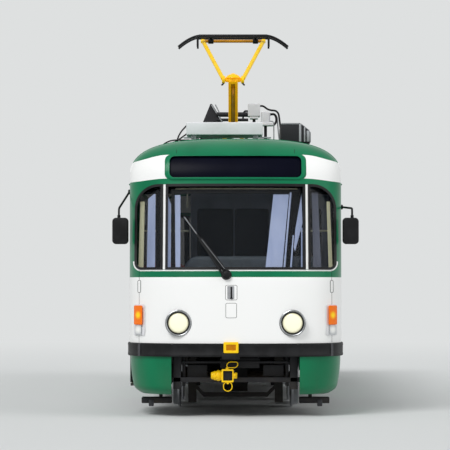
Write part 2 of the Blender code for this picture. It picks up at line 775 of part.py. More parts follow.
def build_side_glass(side, places, bands, name):
    """One inside panel along the wall, thinned to a pane behind each of the wall's openings."""
    wall = WALL_INNER_X - FIT
    inner = wall - SURROUND
    low_z, high_z = WINDOW_BOTTOM_Z - SURROUND_EDGE, SIDE_WINDOW_TOP_Z + SURROUND_EDGE
    low_x, high_x = min(side * wall, side * inner), max(side * wall, side * inner)
    half = SIDE_WINDOW_WIDTH / 2 + SURROUND_EDGE
    bodies = []
    for first, last in bands:
        bodies.append(box((low_x, first * PITCH - half, low_z), (high_x, last * PITCH + half, high_z)))
    if len(bands) > 1:
        bodies.append(box((low_x, -PITCH, HEADER_BAND_LOW_Z), (high_x, PITCH, high_z + FIT)))
    panel = join(bodies[0], *bodies[1:]) if len(bodies) > 1 else bodies[0]
    pane_xs = sorted((side * (wall - GLASS_WEB), side * (inner - OVERRUN)))
    recesses = [plate("yz", [window_edges(place, SURROUND_LIP)], *pane_xs) for place in places]
    node(cut(panel, *recesses), name, PANE)


def build_roof():
    ends = (-STRAIGHT + FIT, STRAIGHT - FIT)
    outer = [roof_row(0.0, y) for y in ends]
    inner = [roof_row(-SHELL, y) for y in ends]
    node(wall_between(outer, inner), "roof", GREEN)


def build_ends():
    front = end_wall(-1, 0.0, -SHELL)
    sign_edge = rounded(-SIGN_HALF_WIDTH, SIGN_HALF_WIDTH, SIGN_LOW_Z, SIGN_HIGH_Z, SIGN_CORNER)
    front = cut(front, screen_cutter(-1), end_prism(-1, sign_edge))
    holes = []
    for x in (-HEADLIGHT_X, HEADLIGHT_X):
        y = end_surface_y(-1, x, HEADLIGHT_Z)
        start, end = (x, y - OVERRUN, HEADLIGHT_Z), (x, y + HEADLIGHT_DEPTH + OVERRUN, HEADLIGHT_Z)
        holes.append(cylinder(start, end, HEADLIGHT_RADIUS))
    node(cut(front, *holes), "front_end", GREEN)

    rear = end_wall(1, 0.0, -SHELL)
    node(cut(rear, screen_cutter(1)), "rear_end", GREEN)

    inner_edge = rounded(
        -SIGN_HALF_WIDTH + FIT,
        SIGN_HALF_WIDTH - FIT,
        SIGN_LOW_Z + FIT,
        SIGN_HIGH_Z - FIT,
        SIGN_CORNER - FIT,
    )
    node(end_patch(-1, 0.0, -SHELL, inner_edge), "front_sign", PANE)


def screen_cutter(side):
    """The end's three window openings, which its two mullions part."""
    opening = end_prism(side, screen_outline(0.0))
    mullions = []
    for x in (-MULLION_X, MULLION_X):
        ys = sorted((side * STRAIGHT, side * (BODY_LENGTH / 2 + 2 * OVERRUN)))
        low = (x - MULLION_WIDTH / 2, ys[0], WINDOW_BOTTOM_Z - OVERRUN)
        mullions.append(box(low, (x + MULLION_WIDTH / 2, ys[1], WINDSCREEN_TOP_Z + OVERRUN)))
    return cut(opening, *mullions)


def build_screen(side, name):
    """Curved glass that lies against the inside of the end's wall and laps its openings."""
    outer = -SHELL - FIT
    node(end_patch(side, outer, outer - GLASS, screen_outline(-GLASS_LAP)), name, PANE)


def build_bumper(side, name):
    edge_x = BODY_HALF_WIDTH + BUMPER_SIDE_PROUD + OVERRUN
    edge = [(-edge_x, SILL_Z), (edge_x, SILL_Z), (edge_x, BUMPER_TOP_Z), (-edge_x, BUMPER_TOP_Z)]
    strip_rows = []
    for z in (SILL_Z, BUMPER_TOP_Z):
        outer = plan_row(side, BODY_HALF_WIDTH + BUMPER_SIDE_PROUD, NOSE_REACH + BUMPER_PROUD, z)
        inner = plan_row(side, BODY_HALF_WIDTH + FIT, NOSE_REACH + FIT, z)
        strip_rows.append((outer, inner))
    strip = wall_between([outer for outer, _ in strip_rows], [inner for _, inner in strip_rows])
    node(keep(strip, end_prism(side, edge)), name, BLACK)


# Floor, steps, drawgear and lifeguard
def floor_outline():
    """The floor's edge: straight along the walls, rounded inside the ends."""
    half_width = WALL_INNER_X - FIT
    reach = NOSE_REACH - SHELL - setback((SILL_Z + WAIST_Z) / 2)
    front = [(x, y) for x, y, _ in plan_row(-1, half_width, reach, 0.0)]
    rear = [(x, y) for x, y, _ in plan_row(1, half_width, reach, 0.0)]
    return front + rear[::-1]


def door_edges(place):
    return place * PITCH - DOOR_WIDTH / 2, place * PITCH + DOOR_WIDTH / 2


def step_outline(grow):
    """The step well in section across the tram, its inner surface grown by a wall's thickness."""
    outer_x = -BODY_HALF_WIDTH + STEP_OUTER_GAP
    top = FLOOR_Z
    return [
        (outer_x, top),
        (outer_x, LOW_STEP_Z - grow),
        (LOW_STEP_INNER_X + grow, LOW_STEP_Z - grow),
        (LOW_STEP_INNER_X + grow, HIGH_STEP_Z - grow),
        (HIGH_STEP_INNER_X + grow, HIGH_STEP_Z - grow),
        (HIGH_STEP_INNER_X + grow, top),
    ]


def build_underframe():
    floor = plate("xy", [floor_outline()], UNDER_FLOOR_Z, FLOOR_Z)
    wells, hollows = [], []
    for _, place in DOORS:
        low, high = door_edges(place)
        wells.append(plate("xz", [step_outline(STEP_PLATE)], low + FIT, high - FIT))
        hollow = [(x, z if z < FLOOR_Z else z + OVERRUN) for x, z in step_outline(0.0)]
        hollow = [(x if x > -WALL_INNER_X else x - OVERRUN, z) for x, z in hollow]
        hollows.append(plate("xz", [hollow], low + STEP_PLATE, high - STEP_PLATE))
    under = join(floor, *wells)
    # The well's end plates stop inside the wall, so that only its steps reach into the doorway.
    for _, place in DOORS:
        low, high = door_edges(place)
        inset = STEP_PLATE + TOOL_LAP
        for y_low, y_high in ((low - OVERRUN, low + inset), (high - inset, high + OVERRUN)):
            corner = (-BODY_HALF_WIDTH - OVERRUN, y_low, 0.0)
            hollows.append(box(corner, (-WALL_INNER_X + FLOOR_EDGE_GAP, y_high, FLOOR_Z + OVERRUN)))
    under = cut(under, *hollows)

    parts = []
    for side in (-1, 1):
        y = side * BOGIE_CENTRE_Y
        low = (-BOLSTER_HALF_WIDTH, y - BOLSTER_HALF_LENGTH, PIVOT_TOP_Z + FIT)
        high = (BOLSTER_HALF_WIDTH, y + BOLSTER_HALF_LENGTH, UNDER_FLOOR_Z + TOOL_LAP)
        parts.append(box(low, high))
        parts += drawgear(side)
        for x in (-JACK_PAD_X, JACK_PAD_X):
            pad_y = side * JACK_PAD_Y
            low = (x - JACK_PAD_HALF, pad_y - JACK_PAD_HALF, UNDER_FLOOR_Z - JACK_PAD_DEPTH)
            high = (x + JACK_PAD_HALF, pad_y + JACK_PAD_HALF, UNDER_FLOOR_Z + TOOL_LAP)
            parts.append(box(low, high))
        x = side * BEAM_X
        low = (x - BEAM_HALF_WIDTH, -BEAM_HALF_LENGTH, UNDER_FLOOR_Z - BEAM_DEPTH)
        high = (x + BEAM_HALF_WIDTH, BEAM_HALF_LENGTH, UNDER_FLOOR_Z + TOOL_LAP)
        parts.append(box(low, high))
    node(join(under, *parts, *lifeguard()), "underframe", DARK)


def drawgear(side):
    """A bar under the floor that ends in two cheeks and the coupler's pin."""

    def y(distance):
        return side * distance

    hub_gap = COUPLER_HUB_RADIUS + CLEARANCE
    low_z, high_z = DRAWBAR_Z - DRAWBAR_HALF, DRAWBAR_Z + DRAWBAR_HALF
    left, right = DRAWBAR_X - DRAWBAR_HALF, DRAWBAR_X + DRAWBAR_HALF
    root, pin = DRAWBAR_ROOT_Y, COUPLER_PIN_Y
    bar_ys = sorted((y(root), y(pin - hub_gap)))
    hanger_ys = sorted((y(root), y(root + 2 * DRAWBAR_HALF)))
    cheek_ys = sorted((y(pin - hub_gap - DRAWBAR_HALF), y(pin + COUPLER_HUB_RADIUS)))
    parts = [
        box((left, bar_ys[0], low_z), (right, bar_ys[1], high_z)),
        box((left, hanger_ys[0], low_z), (right, hanger_ys[1], UNDER_FLOOR_Z + TOOL_LAP)),
    ]
    for way in (-1, 1):
        near = DRAWBAR_Z + way * (COUPLER_HUB_HALF + CHEEK_GAP)
        zs = sorted((near, near + way * CHEEK))
        parts.append(box((left, cheek_ys[0], zs[0]), (right, cheek_ys[1], zs[1])))
    # A web ties both cheeks to the bar behind the hub.
    web_ys = sorted((y(pin - hub_gap - DRAWBAR_HALF), y(pin - hub_gap)))
    reach = COUPLER_HUB_HALF + CHEEK_GAP + CHEEK / 2
    parts.append(box((left, web_ys[0], DRAWBAR_Z - reach), (right, web_ys[1], DRAWBAR_Z + reach)))
    top, bottom = DRAWBAR_Z + reach, DRAWBAR_Z - reach
    parts.append(cylinder((DRAWBAR_X, y(pin), bottom), (DRAWBAR_X, y(pin), top), COUPLER_PIN_RADIUS))
    return parts


def lifeguard():
    """Two legs and a low bar that clears the track ahead of the front bogie."""
    low_y, high_y = LIFEGUARD_Y - LIFEGUARD_DEPTH / 2, LIFEGUARD_Y + LIFEGUARD_DEPTH / 2
    inner, outer = LIFEGUARD_X - LIFEGUARD_LEG_HALF, LIFEGUARD_X + LIFEGUARD_LEG_HALF
    bar_low, bar_high = LIFEGUARD_BAR_Z - LIFEGUARD_BAR_HALF, LIFEGUARD_BAR_Z + LIFEGUARD_BAR_HALF
    top = UNDER_FLOOR_Z + TOOL_LAP
    half = [
        (LIFEGUARD_BAR_X, bar_low),
        (inner, LIFEGUARD_SHOULDER_Z - LIFEGUARD_BAR_HALF),
        (inner, LIFEGUARD_LEG_LOW_Z),
        (outer, LIFEGUARD_LEG_LOW_Z),
        (outer, top),
        (inner, top),
        (inner, LIFEGUARD_SHOULDER_Z + LIFEGUARD_BAR_HALF),
        (LIFEGUARD_BAR_X, bar_high),
    ]
    return [plate("xz", [mirrored(half)], low_y, high_y)]


# Skirts
def skirt_offset(share):
    """How far the skirt's outer face lies inside the body's side, at a share of its height."""
    return -SKIRT_INSET - SKIRT_TUCK * (1 - share) ** 2


def skirt_levels():
    for share in SKIRT_ROW_SHARES:
        yield SKIRT_LOW_Z + share * (SILL_Z - FIT - SKIRT_LOW_Z), skirt_offset(share)


def build_end_skirt(side, name):
    """Both corner skirts, joined by the dark crossbar and hangers behind the coupler."""
    outer, inner = [], []
    for z, offset in skirt_levels():
        outer.append(plan_row(side, BODY_HALF_WIDTH + offset, NOSE_REACH + offset, z))
        inner.append(plan_row(side, BODY_HALF_WIDTH + offset - SKIRT, NOSE_REACH + offset - SKIRT, z))
    corners = wall_between(outer, inner)
    gap = rounded(
        -SKIRT_INNER_X, SKIRT_INNER_X, SKIRT_LOW_Z - OVERRUN, SILL_Z + OVERRUN, SKIRT_CORNER
    )
    corners = cut(corners, end_prism(side, gap))
    front_y = side * (BODY_LENGTH / 2 - CROSSBAR_BACK)
    ys = sorted((front_y, front_y - side * CROSSBAR_DEPTH))
    # The crossbar's ends run into the skirts' walls, wherever those are at its place.
    middle_z = (CROSSBAR_LOW_Z + CROSSBAR_HIGH_Z) / 2
    offset = skirt_offset((middle_z - SKIRT_LOW_Z) / (SILL_Z - SKIRT_LOW_Z))
    share = (END_LENGTH - CROSSBAR_BACK) / (NOSE_REACH + offset)
    bar_x = (BODY_HALF_WIDTH + offset) * (1 - share**PLAN_POWER) ** (1 / PLAN_POWER) - SKIRT / 2
    bar = box((-bar_x, ys[0], CROSSBAR_LOW_Z), (bar_x, ys[1], CROSSBAR_HIGH_Z))
    hangers = []
    for x in (-HANGER_X, HANGER_X):
        low = (x - HANGER_HALF_WIDTH, ys[0], HANGER_LOW_Z)
        high = (x + HANGER_HALF_WIDTH, ys[1], UNDER_FLOOR_Z - FIT)
        hangers.append(box(low, high))
    node(join(corners, bar, *hangers), name, GREEN)


def skirt_section(side):
    outer = [(side * (BODY_HALF_WIDTH + offset), z) for z, offset in skirt_levels()]
    inner = [(x - side * SKIRT, z) for x, z in reversed(outer)]
    return outer + inner


def build_side_skirt(side, name):
    """A long skirt with an arch at each bogie and, on the door side, a slot above each lowest step."""
    skirt = plate("xz", [skirt_section(side)], -STRAIGHT + FIT, STRAIGHT - FIT)
    xs = sorted((side * (BODY_HALF_WIDTH + OVERRUN), side * (WALL_INNER_X - OVERRUN)))
    cutters = []
    for way in (-1, 1):
        y = way * BOGIE_CENTRE_Y
        arch = rounded(
            y - ARCH_HALF_LENGTH,
            y + ARCH_HALF_LENGTH,
            SKIRT_LOW_Z - OVERRUN - ARCH_CORNER,
            ARCH_TOP_Z,
            ARCH_CORNER,
        )
        cutters.append(plate("yz", [arch], *xs))
    if side < 0:
        for _, place in DOORS:
            low, high = door_edges(place)
            low_corner = (xs[0], low, STEP_SLOT_Z - FIT)
            cutters.append(box(low_corner, (xs[1], high, SILL_Z + OVERRUN)))
    node(cut(skirt, *cutters), name, GREEN)


# Running gear
def build_wheelset(name, y, bogie):
    """A rail axle with its two wheels, turned in one piece."""
    back = GAUGE / 2 - FLANGE_BACK
    outer = back + WHEEL_WIDTH
    flange = WHEEL_RADIUS + FLANGE_HEIGHT
    rim = WHEEL_RADIUS - RIM_THICKNESS
    half = [
        (0.0, outer + HUB_PROUD),
        (HUB_RADIUS, outer + HUB_PROUD),
        (HUB_RADIUS, back + WEB),
        (rim, back + WEB),
        (rim, outer),
        (WHEEL_RADIUS, outer),
        (WHEEL_RADIUS, back + FLANGE_BACK),
        (flange, back + FLANGE_TIP),
        (flange, back),
        (AXLE_RADIUS, back),
    ]
    profile = half + [(radius, -along) for radius, along in reversed(half)]
    centre = (0.0, y, AXLE_Z)
    wheels = turned(profile, (centre, (1, 0, 0)), sides=WHEEL_SIDES)
    node(wheels, name, STEEL, origin=centre, carrier=bogie)


def build_bogie(name, y):
    def slab(low_x, high_x, low_y, high_y, low_z, high_z):
        return box((low_x, y + low_y, low_z), (high_x, y + high_y, high_z))

    parts, bores = [], []
    frame_low, frame_high = SIDE_FRAME_LOW_Z, SIDE_FRAME_HIGH_Z
    for side in (-1, 1):
        x = side * SIDE_FRAME_X
        inner, outer = x - SIDE_FRAME_HALF, x + SIDE_FRAME_HALF
        length = SIDE_FRAME_HALF_LENGTH
        parts.append(slab(inner, outer, -length, length, frame_low, frame_high))
        brake_x = side * TRACK_BRAKE_X
        low_x, high_x = brake_x - TRACK_BRAKE_HALF_X, brake_x + TRACK_BRAKE_HALF_X
        reach = TRACK_BRAKE_HALF_Y
        parts.append(slab(low_x, high_x, -reach, reach, TRACK_BRAKE_LOW_Z, TRACK_BRAKE_HIGH_Z))
        arm_xs = sorted((x, brake_x + side * TRACK_BRAKE_HALF_X / 2))
        for way in (-1, 1):
            low = way * BRAKE_HANGER_Y - BRAKE_HANGER_HALF
            high = low + 2 * BRAKE_HANGER_HALF
            post_x = sorted((brake_x - TRACK_BRAKE_HALF_X / 2, brake_x + TRACK_BRAKE_HALF_X / 2))
            parts.append(slab(*post_x, low, high, TRACK_BRAKE_HIGH_Z - TOOL_LAP, frame_high - TOOL_LAP))
            parts.append(slab(*arm_xs, low, high, frame_high - 2 * BRAKE_HANGER_HALF, frame_high - FIT))
            axle_y = way * HALF_WHEELBASE
            low, high = axle_y - AXLE_BOX_HALF, axle_y + AXLE_BOX_HALF
            parts.append(slab(inner - FIT, outer + FIT, low, high, AXLE_BOX_LOW_Z, frame_low + TOOL_LAP))
    for way in (-1, 1):
        low = way * CROSS_MEMBER_Y - CROSS_MEMBER_HALF
        high = low + 2 * CROSS_MEMBER_HALF
        parts.append(slab(-SIDE_FRAME_X, SIDE_FRAME_X, low, high, frame_low + FIT, frame_high - FIT))
        axle_y = way * HALF_WHEELBASE
        low, high = axle_y - GEAR_CASE_HALF_Y, axle_y + GEAR_CASE_HALF_Y
        half_x = GEAR_CASE_HALF_X
        parts.append(slab(-half_x, half_x, low, high, GEAR_CASE_LOW_Z, GEAR_CASE_HIGH_Z))
        start = (0.0, y + way * MOTOR_START_Y, MOTOR_Z)
        end = (0.0, y + way * (HALF_WHEELBASE - GEAR_CASE_HALF_Y / 2), MOTOR_Z)
        parts.append(cylinder(start, end, MOTOR_RADIUS))
        axle_end = SIDE_FRAME_X + SIDE_FRAME_HALF + OVERRUN
        start, end = (-axle_end, y + axle_y, AXLE_Z), (axle_end, y + axle_y, AXLE_Z)
        bores.append(cylinder(start, end, AXLE_RADIUS + AXLE_CLEARANCE, sides=WHEEL_SIDES))
    bolster_y = BOGIE_BOLSTER_Y
    bolster_x = BOGIE_BOLSTER_X
    parts.append(
        slab(-bolster_x, bolster_x, -bolster_y, bolster_y, BOGIE_BOLSTER_LOW_Z, BOGIE_BOLSTER_HIGH_Z)
    )
    pivot_low = (0.0, y, BOGIE_BOLSTER_HIGH_Z - TOOL_LAP)
    parts.append(cylinder(pivot_low, (0.0, y, PIVOT_TOP_Z), PIVOT_RADIUS))
    frame = join(parts[0], *parts[1:])
    return node(cut(frame, *bores), name, DARK, origin=(0.0, y, PIVOT_TOP_Z))


def build_running_gear():
    number = 1
    for name, side in (("bogie_frame_front", -1), ("bogie_frame_rear", 1)):
        centre = side * BOGIE_CENTRE_Y
        bogie = build_bogie(name, centre)
        for way in (-1, 1):
            build_wheelset(f"wheelset_{number}", centre + way * HALF_WHEELBASE, bogie)
            number += 1


def build_equipment():
    """Battery and contactor cases and the motor generator, hung from two crossbeams."""
    top = UNDER_FLOOR_Z - BEAM_DEPTH - FIT
    parts = []
    for way in (-1, 1):
        ys = sorted((way * CASE_INNER_Y, way * CASE_OUTER_Y))
        parts.append(box((CASE_LOW_X, ys[0], CASE_LOW_Z), (CASE_HIGH_X, ys[1], UNDER_FLOOR_Z - FIT)))
        saddle_y = way * SADDLE_Y
        low = (-BEAM_X - BEAM_HALF_WIDTH, saddle_y - SADDLE_HALF_Y, GENERATOR_Z)
        parts.append(box(low, (CASE_LOW_X + TOOL_LAP, saddle_y + SADDLE_HALF_Y, top)))
    half = GENERATOR_HALF_LENGTH
    parts.append(cylinder((0.0, -half, GENERATOR_Z), (0.0, half, GENERATOR_Z), GENERATOR_RADIUS))
    node(join(parts[0], *parts[1:]), "underfloor_equipment", DARK)


# Doors
def leaf_panel(low_y):
    """A framed panel whose window is a thin web set in from both faces."""
    low_x, high_x = LEAF_X - LEAF / 2, LEAF_X + LEAF / 2
    low_z, high_z = LOW_STEP_Z + LEAF_BOTTOM_GAP, DOOR_TOP_Z - LEAF_TOP_GAP
    leaf = box((low_x, low_y, low_z), (high_x, low_y + LEAF_WIDTH, high_z))
    window = rounded(
        low_y + LEAF_STILE,
        low_y + LEAF_WIDTH - LEAF_STILE,
        LEAF_RAIL_Z,
        high_z - LEAF_TOP_RAIL,
        LEAF_STILE,
    )
    outside = plate("yz", [window], low_x - OVERRUN, LEAF_X - LEAF_WEB / 2)
    inside = plate("yz", [window], LEAF_X + LEAF_WEB / 2, high_x + OVERRUN)
    return cut(leaf, outside, inside)


def post_fittings(post_hinge, fold_hinge, way):
    """The pin that turns under the doorway's header, and the long knuckle that carries the second leaf."""
    top = DOOR_TOP_Z - LEAF_TOP_GAP
    x, y, _ = post_hinge
    pin = cylinder((x, y, top - LEAF_PIN_RADIUS), (x, y, DOOR_TOP_Z - FIT), LEAF_PIN_RADIUS)
    low_z, high_z = LOW_STEP_Z + LEAF_BOTTOM_GAP + KNUCKLE_INSET_Z, top - KNUCKLE_INSET_Z
    x, y, _ = fold_hinge
    knuckle = cylinder((x, y, low_z), (x, y, high_z), KNUCKLE_RADIUS, sides=KNUCKLE_SIDES)
    ys = sorted((y, y - way * KNUCKLE_STRAP))
    half = KNUCKLE_RADIUS / 2
    strap = box((x - half, ys[0], low_z + half), (x + FOLD_GAP / 2 + half, ys[1], high_z - half))
    return pin, knuckle, strap


def build_doors():
    """Each half door is a leaf hinged at its post and a second one hinged to it, folding inwards."""
    fold_x = LEAF_X - LEAF / 2 - FOLD_GAP / 2
    for door, place in DOORS:
        low, high = door_edges(place)
        for half, post, way in (("fore", low, 1), ("aft", high, -1)):
            post_edge = post + way * POST_GAP
            fold_edge = post_edge + way * LEAF_WIDTH
            next_edge = fold_edge + way * FOLD_GAP
            post_hinge = (LEAF_X, post_edge + way * POST_HINGE_INSET, LOW_STEP_Z)
            fold_hinge = (fold_x, (fold_edge + next_edge) / 2, LOW_STEP_Z)
            panel = leaf_panel(min(post_edge, fold_edge))
            first = join(panel, *post_fittings(post_hinge, fold_hinge, way))
            node(first, f"{door}_{half}_post_leaf", WHITE, origin=post_hinge)
            second = leaf_panel(min(next_edge, next_edge + way * LEAF_WIDTH))
            node(second, f"{door}_{half}_lead_leaf", WHITE, origin=fold_hinge, carrier=first)


# Lamps and fittings
def lamp_outline(x, z, width, height):
    low_x, high_x = x - width / 2, x + width / 2
    low_z, high_z = z - height / 2, z + height / 2
    return [(low_x, low_z), (high_x, low_z), (high_x, high_z), (low_x, high_z)]


def build_lamps():
    for word, way in (("left", 1), ("right", -1)):
        x = way * HEADLIGHT_X
        front = end_surface_y(-1, x, HEADLIGHT_Z) - HEADLIGHT_PROUD
        rim = HEADLIGHT_RADIUS - FIT
        profile = [
            (0.0, HEADLIGHT_BULGE),
            (HEADLIGHT_LENS_RADIUS / 2, HEADLIGHT_BULGE),
            (HEADLIGHT_LENS_RADIUS, 0.0),
            (HEADLIGHT_LENS_RADIUS, -HEADLIGHT_BULGE),
            (rim - HEADLIGHT_BULGE, 0.0),
            (rim, -HEADLIGHT_BULGE),
            (rim, -HEADLIGHT_DEPTH),
            (0.0, -HEADLIGHT_DEPTH),
        ]
        lamp = turned(profile, ((x, front, HEADLIGHT_Z), (0, -1, 0)))
        node(lamp, f"headlight_{word}", CREAM)

        # Both corner lamps stand on one backing plate, which shows on their inner side.
        x = way * INDICATOR_X
        edge = lamp_outline(x, INDICATOR_Z, INDICATOR_WIDTH, INDICATOR_HEIGHT)
        glass = end_patch(-1, INDICATOR_PROUD, LAMP_PLATE_PROUD / 2, edge)
        edge = lamp_outline(x, SIDELAMP_Z, SIDELAMP_WIDTH, SIDELAMP_HEIGHT + TOOL_LAP)
        lower = end_patch(-1, INDICATOR_PROUD - LAMP_PLATE_PROUD, LAMP_PLATE_PROUD / 3, edge)
        low_z = SIDELAMP_Z - SIDELAMP_HEIGHT / 2 - LAMP_PLATE_PROUD
        high_z = INDICATOR_Z + INDICATOR_HEIGHT / 2 + LAMP_PLATE_PROUD
        back_width = INDICATOR_WIDTH + LAMP_PLATE_SHIFT + TOOL_LAP
        back_x = x - way * (LAMP_PLATE_SHIFT - TOOL_LAP) / 2
        edge = lamp_outline(back_x, (low_z + high_z) / 2, back_width, high_z - low_z)
        back = end_patch(-1, LAMP_PLATE_PROUD, FIT, edge)
        node(join(back, glass, lower), f"indicator_{word}", ORANGE)

        x = way * TAIL_LAMP_X
        tail = end_patch(
            1, INDICATOR_PROUD, FIT, lamp_outline(x, TAIL_LAMP_Z, TAIL_LAMP_WIDTH, TAIL_LAMP_HEIGHT)
        )
        node(tail, f"tail_lamp_{word}", RED)


def build_mirrors():
    feet = (("left", 1, MIRROR_LEFT_FOOT_Z), ("right", -1, MIRROR_RIGHT_FOOT_Z))
    for word, way, foot_z in feet:
        x = way * MIRROR_X
        half_width, half_height = MIRROR_WIDTH / 2, MIRROR_HEIGHT / 2
        edge = rounded(
            x - half_width, x + half_width, MIRROR_Z - half_height, MIRROR_Z + half_height, MIRROR_CORNER
        )
        head = plate("xz", [edge], MIRROR_Y - MIRROR_DEPTH / 2, MIRROR_Y + MIRROR_DEPTH / 2)
        foot_x = way * (BODY_HALF_WIDTH + FIT)
        foot_end = foot_x + way * MIRROR_FOOT
        foot = cylinder((foot_x, MIRROR_FOOT_Y, foot_z), (foot_end, MIRROR_FOOT_Y, foot_z), MIRROR_FOOT)
        reach = x - way * half_width / 2
        bend_z = MIRROR_Z + half_height + MIRROR_FOOT
        arm = tube(
            [
                (foot_end - way * MIRROR_FOOT / 2, MIRROR_FOOT_Y, foot_z),
                (reach, MIRROR_FOOT_Y - MIRROR_FOOT, foot_z),
                (reach, MIRROR_Y, bend_z),
                (reach, MIRROR_Y, MIRROR_Z),
            ],
            MIRROR_ARM_RADIUS,
        )
        node(join(head, foot, arm), f"mirror_{word}", BLACK)


def build_wiper():
    """A hub under the glass, an arm leaning over the windscreen and the blade that it carries."""
    hub_y = end_surface_y(-1, WIPER_X, WIPER_Z)
    hub_end = hub_y - WIPER_HUB_PROUD
    # The hub's back is cut to the end's surface, so that it sits on the panel.
    hub = cylinder((WIPER_X, hub_y + WIPER_HUB_PROUD, WIPER_Z), (WIPER_X, hub_end, WIPER_Z), WIPER_HUB_RADIUS)
    hub = cut(hub, end_wall(-1, FIT, -SHELL - WIPER_HUB_PROUD))
    stand = WIPER_HUB_PROUD - WIPER_ARM_RADIUS

    def place(share, height):
        x = WIPER_X + share * (WIPER_TIP_X - WIPER_X)
        z = WIPER_Z + share * (WIPER_TIP_Z - WIPER_Z)
        return (x, end_surface_y(-1, x, z, 0.0) - height, z)

    start = 1 - WIPER_BLADE_SHARE
    middle = 1 - WIPER_BLADE_SHARE / 2
    arm = tube([place(0.0, stand), place(start, stand), place(middle, stand)], WIPER_ARM_RADIUS)
    blade = tube(
        [place(start, stand / 2), place(middle, stand / 2), place(1.0, stand / 2)], WIPER_BLADE_RADIUS
    )
    clip = tube([place(middle, stand), place(middle, stand / 2)], WIPER_ARM_RADIUS)
    node(join(hub, arm, clip, blade), "wiper", BLACK, origin=(WIPER_X, hub_y, WIPER_Z))


def build_coupler(side, name):
    """A coupler folded to the side: hub on its pin, yoke with a hole, and tapered head."""
    y = side * COUPLER_PIN_Y
    low_z, high_z = DRAWBAR_Z - COUPLER_HUB_HALF, DRAWBAR_Z + COUPLER_HUB_HALF
    hub = cylinder((DRAWBAR_X, y, low_z), (DRAWBAR_X, y, high_z), COUPLER_HUB_RADIUS)
    # The tall yoke starts where it clears the cheeks' corners as the coupler swings.
    yoke_start = DRAWBAR_X - math.hypot(DRAWBAR_HALF, COUPLER_HUB_RADIUS) - CLEARANCE
    yoke_end = yoke_start - COUPLER_YOKE_LENGTH
    depth, height = COUPLER_YOKE_HALF_DEPTH, COUPLER_YOKE_HALF_HEIGHT
    yoke = box((yoke_end, y - depth, DRAWBAR_Z - height), (yoke_start, y + depth, DRAWBAR_Z + height))
    neck = box((yoke_start - TOOL_LAP, y - depth, low_z), (DRAWBAR_X, y + depth, high_z))
    head_end = yoke_end - COUPLER_HEAD_LENGTH
    start, end = (yoke_end + TOOL_LAP, y, DRAWBAR_Z), (head_end, y, DRAWBAR_Z)
    head = cylinder(start, end, COUPLER_HEAD_RADIUS, COUPLER_HEAD_TIP_RADIUS)
    coupler = join(hub, neck, yoke, head)
    hole_x = (yoke_end + yoke_start) / 2
    hole = cylinder((hole_x, y - OVERRUN, DRAWBAR_Z), (hole_x, y + OVERRUN, DRAWBAR_Z), COUPLER_YOKE_HOLE)
    pin_radius = COUPLER_PIN_RADIUS + AXLE_CLEARANCE
    bore = cylinder((DRAWBAR_X, y, low_z - OVERRUN), (DRAWBAR_X, y, high_z + OVERRUN), pin_radius)
    node(cut(coupler, hole, bore), name, YELLOW, origin=(DRAWBAR_X, y, DRAWBAR_Z))


# Inside
def build_cab():
    floor = FLOOR_Z + FIT
    low_y, high_y = PARTITION_Y - PARTITION / 2, PARTITION_Y + PARTITION / 2
    edge = [
        (PARTITION_LOW_X, floor),
        (PARTITION_HIGH_X, floor),
        (PARTITION_HIGH_X, PARTITION_TOP_Z),
        (PARTITION_LOW_X, PARTITION_TOP_Z),
    ]
    panes = [
        rounded(
            low * BODY_HALF_WIDTH,
            high * BODY_HALF_WIDTH,
            PARTITION_PANE_LOW_Z,
            PARTITION_PANE_HIGH_Z,
            PARTITION_PANE_CORNER,
        )
        for low, high in PARTITION_PANE_SHARES
    ]
    node(plate("xz", [edge, *panes], low_y, high_y), "cab_partition", GREY)

    desk = [
        (DASH_FRONT_Y, floor),
        (DASH_BACK_Y, floor),
        (DASH_BACK_Y, DASH_TOP_Z - DASH_SLOPE),
        (DASH_FRONT_Y + DASH_SLOPE, DASH_TOP_Z),
        (DASH_FRONT_Y, DASH_TOP_Z),
    ]
    dash = plate("yz", [desk], DASH_LOW_X, DASH_HIGH_X)
    hump = [
        (DASH_FRONT_Y, DASH_TOP_Z - DASH_SLOPE),
        (DASH_BACK_Y - DASH_SLOPE, DASH_TOP_Z - DASH_SLOPE),
        (DASH_BACK_Y - DASH_SLOPE, DASH_HUMP_Z - DASH_SLOPE),
        (DASH_FRONT_Y + 2 * DASH_SLOPE, DASH_HUMP_Z),
        (DASH_FRONT_Y, DASH_HUMP_Z - DASH_SLOPE),
    ]
    hood = plate("yz", [hump], DASH_HUMP_LOW_X, DASH_HUMP_HIGH_X)
    node(join(dash, hood), "dashboard", GREY)
    node(join(*seat(CAB_SEAT_X, CAB_SEAT_Y)), "driver_seat", SEAT_RED)


def seat(x, y):
    """A moulded seat facing the front, on one leg: its front edge is at -Y."""
    front, back = y - SEAT_DEPTH / 2, y + SEAT_DEPTH / 2
    top, thickness = SEAT_Z, SEAT_THICKNESS
    shell = [
        (front, top - thickness),
        (back, top - thickness),
        (back + SEAT_RAKE, top + SEAT_BACK_HEIGHT),
        (back + SEAT_RAKE - thickness, top + SEAT_BACK_HEIGHT),
        (back - thickness, top),
        (front, top),
    ]
    leg_low = (x - SEAT_LEG_HALF, y - SEAT_LEG_HALF, FLOOR_Z + FIT)
    leg_high = (x + SEAT_LEG_HALF, y + SEAT_LEG_HALF, top - thickness / 2)
    return [plate("yz", [shell], x - SEAT_WIDTH / 2, x + SEAT_WIDTH / 2), box(leg_low, leg_high)]


